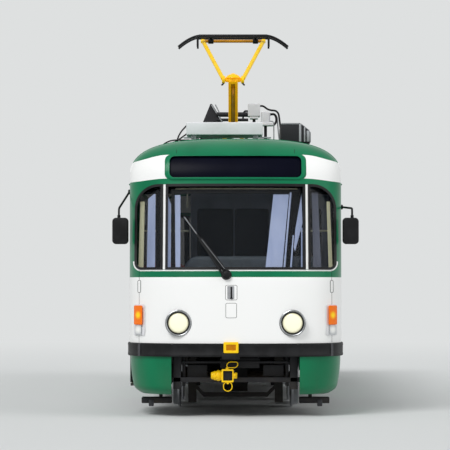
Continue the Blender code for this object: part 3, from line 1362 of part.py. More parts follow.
def seat_group(name, way, places):
    """Seats along one wall, joined by the rail that carries them."""
    wall = WALL_INNER_X - SURROUND - SEAT_WALL_GAP
    rail_z = SEAT_Z - SEAT_THICKNESS / 2
    rail_x = way * (wall - SEAT_THICKNESS)
    parts = []
    for y in places:
        parts += seat(way * (wall - SEAT_WIDTH / 2), y)
    low = (rail_x - SEAT_RAIL_HALF, min(places), rail_z - SEAT_RAIL_HALF)
    rail = box(low, (rail_x + SEAT_RAIL_HALF, max(places), rail_z + SEAT_RAIL_HALF))
    node(join(rail, *parts), name, SEAT_RED)


def build_seats():
    seat_group("seats_left", 1, [row * SEAT_PITCH for row in LEFT_SEAT_ROWS])
    for word, first, count in RIGHT_SEAT_ROWS:
        seat_group(f"seats_right_{word}", -1, [first + step * SEAT_PITCH for step in range(count)])


def build_handrails():
    low, high = min(POLE_YS), max(POLE_YS)
    rail = tube([(RAIL_X, low - RAIL_RADIUS, RAIL_Z), (RAIL_X, high + RAIL_RADIUS, RAIL_Z)], RAIL_RADIUS)
    radius = RAIL_RADIUS * POLE_RADIUS_SHARE
    poles = [tube([(RAIL_X, y, FLOOR_Z + FIT), (RAIL_X, y, RAIL_Z)], radius) for y in POLE_YS]
    node(join(rail, *poles), "handrails", STEEL)


# On the roof
def roof_feet(low_x, high_x, low_y, high_y, top_z):
    feet = []
    for x in (low_x + ROOF_FOOT_INSET, high_x - ROOF_FOOT_INSET):
        for y in (low_y + ROOF_FOOT_INSET, high_y - ROOF_FOOT_INSET):
            low_z = max(roof_height(x - ROOF_FOOT_HALF), roof_height(x + ROOF_FOOT_HALF)) + FIT
            corner = (x + ROOF_FOOT_HALF, y + ROOF_FOOT_HALF, top_z + TOOL_LAP)
            feet.append(box((x - ROOF_FOOT_HALF, y - ROOF_FOOT_HALF, low_z), corner))
    return feet


def build_roof_boxes():
    places = (
        ("roof_box_front", WHITE, ROOF_BOX_LOW_X, ROOF_BOX_HIGH_X, ROOF_BOX_LOW_Y, ROOF_BOX_HIGH_Y)
        + (ROOF_BOX_LOW_Z, ROOF_BOX_HIGH_Z),
        ("roof_box_resistors", DARK, RESISTOR_LOW_X, RESISTOR_HIGH_X, RESISTOR_LOW_Y, RESISTOR_HIGH_Y)
        + (RESISTOR_LOW_Z, RESISTOR_HIGH_Z),
    )
    for name, finish, low_x, high_x, low_y, high_y, low_z, high_z in places:
        edge = [
            (low_x, low_z),
            (high_x, low_z),
            (high_x, high_z - ROOF_BOX_BEVEL),
            (high_x - ROOF_BOX_BEVEL, high_z),
            (low_x + ROOF_BOX_BEVEL, high_z),
            (low_x, high_z - ROOF_BOX_BEVEL),
        ]
        case = plate("xz", [edge], low_y, high_y)
        node(join(case, *roof_feet(low_x, high_x, low_y, high_y, low_z)), name, finish)


def build_pantograph_base():
    """A tube frame on four insulators, with the pivot lugs, the spring strut and two small cases."""
    half, tube_half = PAN_BASE_HALF_WIDTH, PAN_BASE_TUBE / 2
    low_z, high_z = PAN_BASE_Z - tube_half, PAN_BASE_Z + tube_half
    parts = []
    for x in (PAN_X - half, PAN_X + half):
        low = (x - tube_half, PAN_BASE_LOW_Y, low_z)
        parts.append(box(low, (x + tube_half, PAN_BASE_HIGH_Y, high_z)))
        for y in (PAN_BASE_LOW_Y + ROOF_FOOT_INSET, PAN_BASE_HIGH_Y - ROOF_FOOT_INSET):
            foot_z = max(roof_height(x - ROOF_FOOT_HALF), roof_height(x + ROOF_FOOT_HALF)) + FIT
            parts.append(cylinder((x, y, foot_z), (x, y, PAN_BASE_Z), ROOF_FOOT_HALF))
    for y in (PAN_BASE_LOW_Y + tube_half, PAN_PIVOT_Y, PAN_POST_Y, PAN_BASE_HIGH_Y - tube_half):
        low = (PAN_X - half, y - tube_half, low_z + FIT)
        parts.append(box(low, (PAN_X + half, y + tube_half, high_z - FIT)))
    for x in (PAN_X - PAN_LUG_X, PAN_X + PAN_LUG_X):
        low = (x - PAN_LUG_HALF_X, PAN_PIVOT_Y - PAN_LUG_HALF_Y, PAN_BASE_Z)
        high = (x + PAN_LUG_HALF_X, PAN_PIVOT_Y + PAN_LUG_HALF_Y, PAN_PIVOT_Z + PAN_LUG_HALF_Y)
        parts.append(box(low, high))
    pivot, reach = Vector((PAN_X, PAN_PIVOT_Y, PAN_PIVOT_Z)), Vector((PAN_LUG_X + PAN_LUG_HALF_X, 0, 0))
    parts.append(cylinder(pivot - reach, pivot + reach, PAN_SHAFT_RADIUS))
    for shares in PAN_BOX_SHARES:
        low_x, high_x = (PAN_X + share * half for share in shares[:2])
        box_low_z, box_high_z = (PAN_BASE_Z + share * half for share in shares[2:])
        middle = (low_x + high_x) / 2
        low = (low_x, PAN_POST_Y - PAN_BOX_HALF_DEPTH, box_low_z)
        parts.append(box(low, (high_x, PAN_POST_Y + PAN_BOX_HALF_DEPTH, box_high_z)))
        low = (middle - PAN_POST_HALF, PAN_POST_Y - PAN_POST_HALF, PAN_BASE_Z)
        parts.append(box(low, (middle + PAN_POST_HALF, PAN_POST_Y + PAN_POST_HALF, box_low_z + TOOL_LAP)))
    for way in (-1, 1):
        foot = (PAN_STRUT_X + way * PAN_STRUT_SPREAD, PAN_POST_Y, PAN_BASE_Z)
        peak = (PAN_STRUT_X - way * PAN_STRUT_RADIUS / 2, PAN_POST_Y, PAN_STRUT_PEAK_Z)
        parts.append(tube([foot, peak], PAN_STRUT_RADIUS))
    node(join(parts[0], *parts[1:]), "pantograph_base", DARK)


def along(start, end, share):
    return Vector(start).lerp(Vector(end), share)


def build_pantograph():
    build_pantograph_base()
    pivot = Vector((PAN_X, PAN_PIVOT_Y, PAN_PIVOT_Z))

    def bar_x(centre, half, radius):
        return cylinder(centre - Vector((half, 0, 0)), centre + Vector((half, 0, 0)), radius)

    # Lower arm: a thick tube from the sleeve on the base's shaft to the knee, with the thrust rod under it
    arm = cylinder(pivot, PAN_KNEE, PAN_LOWER_RADIUS)
    sleeve = bar_x(pivot, PAN_SLEEVE_HALF, PAN_SLEEVE_RADIUS + PAN_LOWER_RADIUS / 2)
    knee = bar_x(PAN_KNEE, PAN_KNEE_HALF, PAN_KNEE_RADIUS)
    pin_reach = PAN_FORK_X + PAN_FORK_HALF_X
    pin = bar_x(PAN_KNEE, pin_reach, PAN_KNEE_PIN_RADIUS)
    across = (PAN_KNEE - pivot).normalized().cross(Vector((1, 0, 0)))
    drop = across * (-PAN_ROD_DROP if across.z > 0 else PAN_ROD_DROP)
    rod_start = along(pivot, PAN_KNEE, PAN_ROD_START_SHARE)
    rod_end = along(pivot, PAN_KNEE, PAN_ROD_END_SHARE)
    rod = tube([rod_start, rod_start + drop, rod_end + drop, rod_end], PAN_ROD_RADIUS)
    lower = join(arm, sleeve, knee, pin, rod)
    bore = bar_x(pivot, PAN_SLEEVE_HALF + OVERRUN, PAN_SHAFT_RADIUS + PAN_RUNNING_GAP)
    lower = node(cut(lower, bore), "pantograph_lower_arm", YELLOW, origin=pivot)

    # Upper arm: two tubes that spread from the knee's fork to the head's cross tube
    parts, bores = [], []
    for way in (-1, 1):
        fork = PAN_KNEE + Vector((way * PAN_FORK_X, 0, 0))
        top = PAN_HEAD + Vector((way * PAN_UPPER_SPREAD, 0, 0))
        parts.append(tube([fork, top], PAN_UPPER_RADIUS))
        parts.append(bar_x(fork, PAN_FORK_HALF_X, PAN_FORK_RADIUS))
        bores.append(bar_x(fork, PAN_FORK_HALF_X * 2, PAN_KNEE_PIN_RADIUS + PAN_RUNNING_GAP))
    parts.append(bar_x(PAN_HEAD, PAN_UPPER_SPREAD + PAN_UPPER_RADIUS, PAN_HEAD_TUBE_RADIUS))
    upper = cut(join(parts[0], *parts[1:]), *bores)
    upper = node(upper, "pantograph_upper_arm", YELLOW, origin=PAN_KNEE, carrier=lower)

    # Head: sleeves on the cross tube carry two contact strips between curved horns
    parts, bores = [], []
    strip_low, strip_high = PAN_HEAD.z + PAN_STRIP_LOW, PAN_HEAD.z + PAN_STRIP_HIGH
    for way in (-1, 1):
        sleeve_centre = PAN_HEAD + Vector((way * PAN_HEAD_SLEEVE_X, 0, 0))
        parts.append(bar_x(sleeve_centre, PAN_HEAD_SLEEVE_HALF, PAN_HEAD_SLEEVE_RADIUS))
        bores.append(bar_x(sleeve_centre, PAN_HEAD_SLEEVE_HALF * 2, PAN_HEAD_TUBE_RADIUS + PAN_RUNNING_GAP))
        y_reach = PAN_STRIP_Y + PAN_STRIP_HALF_DEPTH
        half = PAN_HEAD_SLEEVE_HALF / 2
        low_z = PAN_HEAD.z + PAN_HEAD_SLEEVE_RADIUS - 3 * TOOL_LAP
        low = (sleeve_centre.x - half, PAN_HEAD.y - y_reach, low_z)
        parts.append(box(low, (sleeve_centre.x + half, PAN_HEAD.y + y_reach, strip_low + TOOL_LAP)))
        y = PAN_HEAD.y + way * PAN_STRIP_Y
        low = (PAN_X - PAN_STRIP_HALF_WIDTH, y - PAN_STRIP_HALF_DEPTH, strip_low)
        parts.append(box(low, (PAN_X + PAN_STRIP_HALF_WIDTH, y + PAN_STRIP_HALF_DEPTH, strip_high)))
        for end in (-1, 1):
            points = []
            for step in range(CORNER_STEPS + 2):
                share = step / (CORNER_STEPS + 1)
                run = PAN_HORN_HALF_WIDTH - PAN_STRIP_HALF_WIDTH + PAN_STRIP_HALF_DEPTH
                x = PAN_STRIP_HALF_WIDTH - PAN_STRIP_HALF_DEPTH + run * share
                z = strip_high - PAN_HORN_RADIUS - PAN_HORN_DROP * share**2
                points.append((PAN_X + end * x, y, z))
            parts.append(tube(points, PAN_HORN_RADIUS))
    head = cut(join(parts[0], *parts[1:]), *bores)
    node(head, "pantograph_head", BLACK, origin=PAN_HEAD, carrier=upper)


for leftover in list(bpy.data.objects):
    bpy.data.objects.remove(leftover, do_unlink=True)
TRAM = collection("tram")

build_sides()
build_side_glass(1, LEFT_WINDOWS, ((LEFT_WINDOWS[0], LEFT_WINDOWS[-1]),), "side_glass_left")
build_side_glass(-1, RIGHT_WINDOWS, ((-3, -1), (1, 3)), "side_glass_right")
build_roof()
build_ends()
build_screen(-1, "windscreen")
build_screen(1, "rear_window")
build_bumper(-1, "front_bumper")
build_bumper(1, "rear_bumper")
build_underframe()
build_end_skirt(-1, "front_skirt")
build_end_skirt(1, "rear_skirt")
build_side_skirt(1, "side_skirt_left")
build_side_skirt(-1, "side_skirt_right")
build_running_gear()
build_equipment()
build_doors()
build_lamps()
build_mirrors()
build_wiper()
build_coupler(-1, "front_coupler")
build_coupler(1, "rear_coupler")
build_cab()
build_seats()
build_handrails()
build_roof_boxes()
build_pantograph()
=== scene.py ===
"""A four-axle tram's looks: its painted body, glass, lamps, running gear, saloon and roof equipment.

Metres. The front end faces -Y, the doors are on the -X side, and +Z is up.
"""

import math

import bpy
from mathutils import Matrix, Vector


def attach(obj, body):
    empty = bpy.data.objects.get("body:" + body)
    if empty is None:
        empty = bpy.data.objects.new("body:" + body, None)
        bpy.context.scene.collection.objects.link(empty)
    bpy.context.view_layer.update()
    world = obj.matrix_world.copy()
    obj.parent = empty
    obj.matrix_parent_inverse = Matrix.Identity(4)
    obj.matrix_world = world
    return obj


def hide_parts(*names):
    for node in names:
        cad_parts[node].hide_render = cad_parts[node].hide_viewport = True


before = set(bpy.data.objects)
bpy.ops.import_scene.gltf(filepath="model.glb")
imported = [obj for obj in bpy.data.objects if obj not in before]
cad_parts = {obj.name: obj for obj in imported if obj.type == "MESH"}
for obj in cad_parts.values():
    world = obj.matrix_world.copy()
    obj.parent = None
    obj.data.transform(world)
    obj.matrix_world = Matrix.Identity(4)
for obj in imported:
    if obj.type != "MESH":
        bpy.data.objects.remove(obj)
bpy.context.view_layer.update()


# Camera
# A long lens 28 m ahead of the nose, at a standing person's eye level, tilted up to take in the pantograph.
NOSE_Y = -7.0
EYE = Vector((0.0, NOSE_Y - 28.0, 1.5))
AIM = Vector((-0.12, NOSE_Y, 2.21))
LENS_MM = 195.8
SENSOR_MM = 36.0
FAR_CLIP = 500.0

bpy.ops.object.camera_add(location=EYE)
camera = bpy.context.object
camera.rotation_euler = (AIM - EYE).to_track_quat("-Z", "Y").to_euler()
camera.data.lens = LENS_MM
camera.data.sensor_width = SENSOR_MM
camera.data.clip_end = FAR_CLIP
bpy.context.scene.camera = camera
bpy.context.scene.view_settings.view_transform = "Standard"


# Painting tools
# A value in a material's node tree works like a number: Python's operators on it add Math nodes. Places are
# read from Object coordinates, which are metres on the tram, because every piece keeps its place in its mesh.
class Shade:
    """An output socket of a finish, on which Python's operators add Math nodes."""

    def __init__(self, tree, output):
        self.tree, self.output = tree, output

    def node(self, kind, settings, inputs, output=0):
        """Adds any other node: first its settings, then the values or links of its sockets."""
        made = self.tree.nodes.new("ShaderNode" + kind)
        for key, value in settings.items():
            setattr(made, key, value)
        for key, value in inputs.items():
            connect(self.tree, value, made.inputs[key])
        return Shade(self.tree, made.outputs[output])

    def maths(self, operation, *values):
        return self.node("Math", {"operation": operation}, dict(enumerate(values)))

    def __add__(self, other):
        return self.maths("ADD", self, other)

    def __sub__(self, other):
        return self.maths("SUBTRACT", self, other)

    def __rsub__(self, other):
        return self.maths("SUBTRACT", other, self)

    def __mul__(self, other):
        return self.maths("MULTIPLY", self, other)

    def __truediv__(self, other):
        return self.maths("DIVIDE", self, other)

    def __gt__(self, other):
        return self.maths("GREATER_THAN", self, other)

    def __lt__(self, other):
        return self.maths("LESS_THAN", self, other)

    def __abs__(self):
        return self.maths("ABSOLUTE", self)

    def __or__(self, other):
        return self.maths("MAXIMUM", self, other)

    __radd__ = __add__
    __rmul__ = __mul__

    def axes(self):
        """The X, Y and Z of a vector."""
        split = self.node("SeparateXYZ", {}, {0: self})
        return [Shade(self.tree, output) for output in split.output.node.outputs]

    def grain(self, scale, detail=3.0, stretch=(1.0, 1.0, 1.0)):
        """Noise read at this place, stretched along the axes."""
        spread = self.node("VectorMath", {"operation": "MULTIPLY"}, {0: self, 1: stretch})
        return self.node("TexNoise", {}, {"Vector": spread, "Scale": scale, "Detail": detail})

    def rise(self, low, high):
        """0 at low, 1 at high and smooth between."""
        limits = {"Value": self, "From Min": low, "From Max": high}
        return self.node("MapRange", {"interpolation_type": "SMOOTHSTEP"}, limits)

    def coloured(self, under, over):
        """The under colour where this is 0 and the over colour where it is 1."""
        return self.node("Mix", {"data_type": "RGBA"}, {0: self, 6: under, 7: over}, 2)

    def bumped(self, distance, strength=1.0):
        """A normal that this height bends."""
        return self.node("Bump", {}, {"Height": self, "Distance": distance, "Strength": strength})


def connect(tree, value, socket):
    if isinstance(value, Shade):
        tree.links.new(value.output, socket)
    else:
        socket.default_value = value


def tint(red, green, blue):
    """A colour as a picture shows it, from 0 to 255, made linear."""
    parts = []
    for part in (red, green, blue):
        share = part / 255
        parts.append(share / 12.92 if share <= 0.04045 else ((share + 0.055) / 1.055) ** 2.4)
    return (*parts, 1.0)


def new_finish(name):
    """An empty material, with the place on the tram as a value."""
    coat = bpy.data.materials.new(name)
    coat.use_nodes = True
    tree = coat.node_tree
    return coat, Shade(tree, tree.nodes.new("ShaderNodeTexCoord").outputs["Object"])


def coat_with(coat, **sockets):
    """Sets or links the shader's sockets: an underscore stands for a space."""
    shader = coat.node_tree.nodes["Principled BSDF"]
    for name, value in sockets.items():
        connect(coat.node_tree, value, shader.inputs[name.replace("_", " ")])
    return coat


# Studio
# A pale floor whose edge fades into the same pale background, a soft key light from the front left and above,
# and a weaker one from the right.
FLOOR_RADIUS = 90.0
FADE_START, FADE_END = 9.0, 34.0
BACKGROUND = tint(222, 224, 224)
FLOOR_TONE = tint(214, 216, 216)
WORLD_LIGHT = 0.62
SUNS = (("key_light", (0.45, 0.75, -0.85), 1.9, 0.5), ("fill_light", (-0.75, 0.35, -0.4), 0.7, 0.9))

bpy.ops.object.select_all(action="DESELECT")
bpy.ops.mesh.primitive_circle_add(vertices=128, radius=FLOOR_RADIUS, fill_type="NGON")
floor = bpy.context.object
floor.name = "studio_floor"
floor_finish, place = new_finish("studio_floor")
x, y, _ = place.axes()
distance = x.maths("SQRT", x * x + y * y)
path = floor_finish.node_tree.nodes.new("ShaderNodeLightPath")
seen = Shade(floor_finish.node_tree, path.outputs["Is Camera Ray"])
glow = place.node("Emission", {}, {"Color": BACKGROUND, "Strength": 1.0})
shader = floor_finish.node_tree.nodes["Principled BSDF"]
coat_with(floor_finish, Base_Color=FLOOR_TONE, Roughness=0.9, Specular_IOR_Level=0.1)
lit = Shade(floor_finish.node_tree, shader.outputs[0])
fade = distance.rise(FADE_START, FADE_END) * seen
mixed = place.node("MixShader", {}, {0: fade, 1: lit, 2: glow})
out = floor_finish.node_tree.nodes["Material Output"]
floor_finish.node_tree.links.new(mixed.output, out.inputs["Surface"])
floor.data.materials.append(floor_finish)

for name, aim, strength, spread in SUNS:
    bpy.ops.object.light_add(type="SUN", rotation=Vector(aim).to_track_quat("-Z", "Y").to_euler())
    sun = bpy.context.object
    sun.name = name
    sun.data.energy = strength
    sun.data.angle = spread

world = bpy.data.worlds.new("studio")
bpy.context.scene.world = world
world.use_nodes = True
path = world.node_tree.nodes.new("ShaderNodeLightPath")
sky = world.node_tree.nodes["Background"]
seen = Shade(world.node_tree, path.outputs["Is Camera Ray"])
glossy = Shade(world.node_tree, path.outputs["Is Glossy Ray"])
through = Shade(world.node_tree, path.outputs["Is Transmission Ray"])
shown = seen | glossy | through
connect(world.node_tree, shown * (1.0 - WORLD_LIGHT) + WORLD_LIGHT, sky.inputs["Strength"])
sky.inputs["Color"].default_value = BACKGROUND


# Body paint
# Gloss paint in level bands: green skirts, white lower panels, a green band round the windows, a white one
# over them, and a green roof. The bands are masked off by height, so they run on from panel to door to end.
GREEN = tint(0, 116, 76)
DEEP_GREEN = tint(0, 104, 68)
WHITE = tint(243, 243, 242)
DUST = tint(120, 112, 98)
BUMPER_TOP_Z = 0.854
WAIST_Z = 1.614
GUTTER_Z = 2.73
BAND_TOP_Z = 2.97
BAND_TOP_AT_SIGN_Z = 3.045
BAND_LOW_AT_SIGN_Z = 2.762
SIGN_PAINT_HALF, SIGN_PAINT_CORNER = 0.824, 0.07
SIGN_PAINT_ZS = (2.749, 3.047)
MULLION_X = 0.826
MULLION_WIDTH = 0.04
SCREEN_LOW_Z, SCREEN_HIGH_Z = 1.706, 2.693
SCREEN_HALF, SCREEN_CORNER = 1.175, 0.08
PIPING_TOP_Z = 1.80
STRAIGHT = 6.0
DUST_Z = 0.75

body_paint, place = new_finish("body_paint")
x, y, z = place.axes()
at_end = abs(y) > STRAIGHT
toward_middle = (1.25 - abs(x)).rise(0.0, 0.45) * at_end
band_low = GUTTER_Z + toward_middle * (BAND_LOW_AT_SIGN_Z - GUTTER_Z)
band_top = BAND_TOP_Z + toward_middle * (BAND_TOP_AT_SIGN_Z - BAND_TOP_Z)
sign_z = sum(SIGN_PAINT_ZS) / 2
sign_x = (abs(x) - (SIGN_PAINT_HALF - SIGN_PAINT_CORNER)) | 0.0
sign_up = (abs(z - sign_z) - (SIGN_PAINT_ZS[1] - sign_z - SIGN_PAINT_CORNER)) | 0.0
beside_sign = (
    sign_x.maths("SQRT", sign_x * sign_x + sign_up * sign_up) > SIGN_PAINT_CORNER
) | (y > -STRAIGHT)
cant_band = (z > band_low) * (z < band_top) * beside_sign
waist_band = (z > BUMPER_TOP_Z) * (z < WAIST_Z)
mullions = (abs(abs(x) - MULLION_X) < MULLION_WIDTH / 2 + 0.001) * (abs(y) > STRAIGHT + 0.1)
mullions = mullions * (z > SCREEN_LOW_Z) * (z < SCREEN_HIGH_Z)
across = (abs(x) - (SCREEN_HALF - SCREEN_CORNER)) | 0.0
under = (SCREEN_LOW_Z + SCREEN_CORNER - z) | 0.0
from_screen = across.maths("SQRT", across * across + under * under) - SCREEN_CORNER
piping = (from_screen > 0.005) * (from_screen < 0.022) * (z < PIPING_TOP_Z) * at_end
white = cant_band | waist_band | mullions | piping
cloud = place.grain(1.7, 4.0)
streaks = place.grain(3.0, 4.0, (1.0, 1.0, 0.12))
green = (cloud * 0.5 + streaks * 0.5).rise(0.35, 0.7).coloured(GREEN, DEEP_GREEN)
clean = white.coloured(green, WHITE)
dirt = (DUST_Z - z).rise(0.0, 0.5) * streaks.rise(0.3, 0.75) * 0.12
peel = place.grain(260.0, 1.0)
coat_with(
    body_paint,
    Base_Color=dirt.coloured(clean, DUST),
    Roughness=0.26 + cloud * 0.10 + dirt * 0.5,
    Normal=(peel + streaks * 0.3).bumped(0.0004, 0.25),
    Coat_Weight=0.06,
    Coat_Roughness=0.12,
    Specular_IOR_Level=0.18,
)


# Moulded ends
# Glass-fibre mouldings 50 mm thick, the same at both ends but for the sign: straight up to the waist, leaning
# back behind the windscreen and domed over into the roof. Their plan is a flattened ellipse.
ENDS = (("front", -1), ("rear", 1))
HALF_WIDTH = 1.25
WALL = 0.05
SILL_Z = 0.70
ROOF_RISE = 0.52
NOSE_REACH = 0.97
WAIST_SETBACK = 0.04
GUTTER_SETBACK = 0.33
PLAN_POWER = 2.7
ROOF_POWER = 3.0
END_COLUMNS = 96
END_ROWS = 56
SCREEN_TOP_CORNER = 0.28
CORNER_SEGMENTS = 10
AXES = {"X": (0, 1, 2), "Y": (1, 0, 2), "Z": (2, 0, 1)}
SIGN_HALF = 0.768
SIGN_LOW_Z, SIGN_HIGH_Z = 2.774, 3.028
SIGN_CORNER = 0.06
HEADLIGHT_X, HEADLIGHT_Z = 0.655, 1.087
HEADLIGHT_RADIUS = 0.1535
SMOOTH_ANGLE = math.radians(35)
BEVEL_ANGLE = math.radians(50)
WELD = 0.0001
OVERRUN, PAST_NOSE = 0.1, STRAIGHT + 1.2  # how far cutting tools reach


def alone(*pieces):
    """Selects nothing, or only these pieces, the first of which is the active one."""
    bpy.ops.object.select_all(action="DESELECT")
    for piece in pieces:
        piece.select_set(True)
        bpy.context.view_layer.objects.active = pieces[0]


def scrapped(*pieces):
    for piece in pieces:
        bpy.data.objects.remove(piece, do_unlink=True)


def span(way, near, far):
    """Two places on one side of the middle, the lower one first."""
    return sorted((way * near, way * far))


def gridded(columns, rows, place):
    """A grid sheet, each of whose points a function puts in place."""
    alone()
    bpy.ops.mesh.primitive_grid_add(x_subdivisions=columns, y_subdivisions=rows, size=1)
    sheet = bpy.context.object
    for vertex in sheet.data.vertices:
        vertex.co = place(vertex.co.x, vertex.co.y)
    return sheet


def closed_up(piece, **steps):
    """Runs edit-mode steps on all of a mesh and then turns its faces outwards."""
    bpy.ops.object.mode_set(mode="EDIT")
    for step, settings in (*steps.items(), ("normals_make_consistent", {"inside": False})):
        bpy.ops.mesh.select_all(action="SELECT")
        getattr(bpy.ops.mesh, step)(**settings)
    bpy.ops.object.mode_set(mode="OBJECT")
    return piece


def drawn_out(through, distance):
    """The settings that extrude a face along an axis."""
    return {"TRANSFORM_OT_translate": {"value": [distance * (axis == through) for axis in range(3)]}}


def level(z):
    """Half width and reach of the ends' surface at a height."""
    if z <= GUTTER_Z:
        low = min(1.0, (z - SILL_Z) / (WAIST_Z - SILL_Z))
        high = max(0.0, (z - WAIST_Z) / (GUTTER_Z - WAIST_Z))
        low_part = WAIST_SETBACK * max(0.0, low) ** 2
        return HALF_WIDTH, NOSE_REACH - low_part - (GUTTER_SETBACK - WAIST_SETBACK) * high
    height = min(1.0, (z - GUTTER_Z) / ROOF_RISE)
    width = HALF_WIDTH * (1 - height**ROOF_POWER) ** (1 / ROOF_POWER)
    return width, (NOSE_REACH - GUTTER_SETBACK) * math.sqrt(1 - height * height)


def end_y(side, x, z):
    """Where the end's surface lies at a place seen from the front."""
    width, reach = level(z)
    share = min(1.0, abs(x) / (width + 1e-9))
    return side * (STRAIGHT + reach * (1 - share**PLAN_POWER) ** (1 / PLAN_POWER))


def plan_point(turn, width, reach):
    """X and distance from mid length on the ends' plan: turn runs from 0 at one side to pi at the other."""
    across, along = math.cos(turn), math.sin(turn)
    x = width * math.copysign(abs(across) ** (2 / PLAN_POWER), across)
    return x, STRAIGHT + reach * max(0.0, along) ** (2 / PLAN_POWER)


def wrapped(side, low_z, proud, thickness, columns=END_COLUMNS, rows=END_ROWS):
    """A sheet laid round the end from wall to wall and up to the roof's crest, thickened inwards."""

    def place(across, up):
        share = up + 0.5
        if share <= 0.5:
            z = low_z + (GUTTER_Z - low_z) * share * 2
            width, reach = level(z)
        else:
            crown = math.pi * (share - 0.5)
            height = min(1.0, math.sin(crown) ** (2 / ROOF_POWER))
            z = GUTTER_Z + ROOF_RISE * height
            width = HALF_WIDTH * max(0.0, math.cos(crown)) ** (2 / ROOF_POWER)
            reach = (NOSE_REACH - GUTTER_SETBACK) * math.sqrt(1 - height * height)
            z += proud * height
        x, y = plan_point(math.pi * (0.5 - across), width + proud, reach + proud)
        return x, side * y, z

    sheet = closed_up(gridded(columns, rows, place), remove_doubles={"threshold": WELD})
    return thickened(sheet, thickness)


def apply_modifier(piece, kind, **settings):
    """Adds one modifier and applies it."""
    bpy.context.view_layer.objects.active = piece
    modifier = piece.modifiers.new("step", kind)
    for key, value in settings.items():
        setattr(modifier, key, value)
    bpy.ops.object.modifier_apply(modifier=modifier.name)


def thickened(sheet, thickness, offset=-1.0):
    apply_modifier(sheet, "SOLIDIFY", thickness=thickness, offset=offset)
    return sheet


def cut_away(piece, *tools, operation="DIFFERENCE"):
    """Cuts the tools out of the piece and removes them."""
    for tool in tools:
        apply_modifier(piece, "BOOLEAN", operation=operation, solver="EXACT", object=tool)
        scrapped(tool)
    return piece


def kept_inside(piece, tool):
    """Keeps only what lies inside the tool."""
    return cut_away(piece, tool, operation="INTERSECT")


def rounded_plate(axis, low, high, corner=0.0, upper_corner=None, segments=CORNER_SEGMENTS, bevel=0.0):
    """A plate square to an axis, whose outline has rounded corners. Its edges may be bevelled."""
    low, high = Vector(low), Vector(high)
    through, across, up = AXES[axis]
    alone()
    bpy.ops.mesh.primitive_plane_add(size=1)
    plate = bpy.context.object
    for vertex in plate.data.vertices:
        u, v = vertex.co.x + 0.5, vertex.co.y + 0.5
        place = low.copy()
        place[across] = low[across] + u * (high[across] - low[across])
        place[up] = low[up] + v * (high[up] - low[up])
        vertex.co = place
    middle = (low[up] + high[up]) / 2
    upper_corner = corner if upper_corner is None else upper_corner
    bpy.ops.object.mode_set(mode="EDIT")
    for radius, above in ((corner, False), (upper_corner, True)):
        if radius:
            bpy.ops.mesh.select_mode(type="VERT")
            bpy.ops.mesh.select_all(action="DESELECT")
            bpy.ops.object.mode_set(mode="OBJECT")
            for vertex in plate.data.vertices:
                at_corner = min(
                    abs(vertex.co[across] - low[across]), abs(vertex.co[across] - high[across])
                ) < 1e-6
                at_level = min(abs(vertex.co[up] - low[up]), abs(vertex.co[up] - high[up])) < 1e-6
                vertex.select = at_corner and at_level and (vertex.co[up] > middle) == above
            bpy.ops.object.mode_set(mode="EDIT")
            bpy.ops.mesh.bevel(offset=radius, segments=segments, affect="VERTICES", clamp_overlap=True)
    closed_up(plate, extrude_region_move=drawn_out(through, high[through] - low[through]))
    return settle_bevel(plate, bevel)


def settle_bevel(piece, width, segments=3):
    """Bevels the sharp edges, if there is a width."""
    if width:
        apply_modifier(
            piece, "BEVEL", width=width, segments=segments, limit_method="ANGLE", angle_limit=BEVEL_ANGLE
        )
    return piece


def painted(piece, coat):
    piece.data.materials.clear()
    piece.data.materials.append(coat)


def finished(piece, name, coat, replaced=(), slot=None, body="body"):
    """Names the piece, puts its place into its mesh, and gives it its finish and its body.

    The slot argument is not used.
    """
    alone(piece)
    bpy.ops.object.transform_apply(location=True, rotation=True, scale=True)
    bpy.ops.object.shade_smooth_by_angle(angle=SMOOTH_ANGLE)
    piece.name = piece.data.name = name
    painted(piece, coat)
    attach(piece, body)
    slot or coat.name.split(".")[0]
    if replaced:
        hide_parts(*replaced)


def screen_tool(side, inset=0.0):
    """The windscreen's opening, less the two mullions that part it, and drawn in all round by an inset."""
    reach = 0.0 if inset <= 0 else 0.05
    low_y, high_y = span(side, STRAIGHT + 0.002 - reach, PAST_NOSE)
    low = (-SCREEN_HALF + inset, low_y, SCREEN_LOW_Z + inset)
    high = (SCREEN_HALF - inset, high_y, SCREEN_HIGH_Z - inset)
    opening = rounded_plate("Y", low, high, SCREEN_CORNER - inset, SCREEN_TOP_CORNER - inset)
    bars = []
    for x in (-MULLION_X, MULLION_X):
        half = MULLION_WIDTH / 2 + inset
        low = (x - half, low_y - OVERRUN, SCREEN_LOW_Z - OVERRUN)
        bars.append(rounded_plate("Y", low, (x + half, high_y + OVERRUN, SCREEN_HIGH_Z + OVERRUN)))
    return cut_away(opening, *bars)


for word, side in ENDS:
    shell = wrapped(side, SILL_Z, 0.0, WALL)
    tools = [screen_tool(side)]
    if side < 0:
        low, high = (-SIGN_HALF, -PAST_NOSE, SIGN_LOW_Z), (SIGN_HALF, -STRAIGHT - 0.01, SIGN_HIGH_Z)
        tools.append(rounded_plate("Y", low, high, SIGN_CORNER))
        for x in (-HEADLIGHT_X, HEADLIGHT_X):
            alone()
            bpy.ops.mesh.primitive_cylinder_add(
                vertices=64, radius=HEADLIGHT_RADIUS, depth=0.6, location=(x, -6.9, HEADLIGHT_Z),
                rotation=(math.pi / 2, 0, 0)
            )
            tools.append(bpy.context.object)
    finished(cut_away(shell, *tools), f"{word}_moulding", body_paint, [f"{word}_end"])


# Roof
# Pressed steel sheets on hoops, painted green, with a raised bead over each hoop and a drip rail along each
# side over the windows and doors.
ROOF_COLUMNS, ROOF_ROWS = 72, 8
PANEL_GAP = 0.0005
BEAD_YS = [-6.0 + 1.5 * step for step in range(9)]
BEAD_RADIUS = 0.009
DRIP_Z = 2.716
DRIP_RADIUS = 0.010


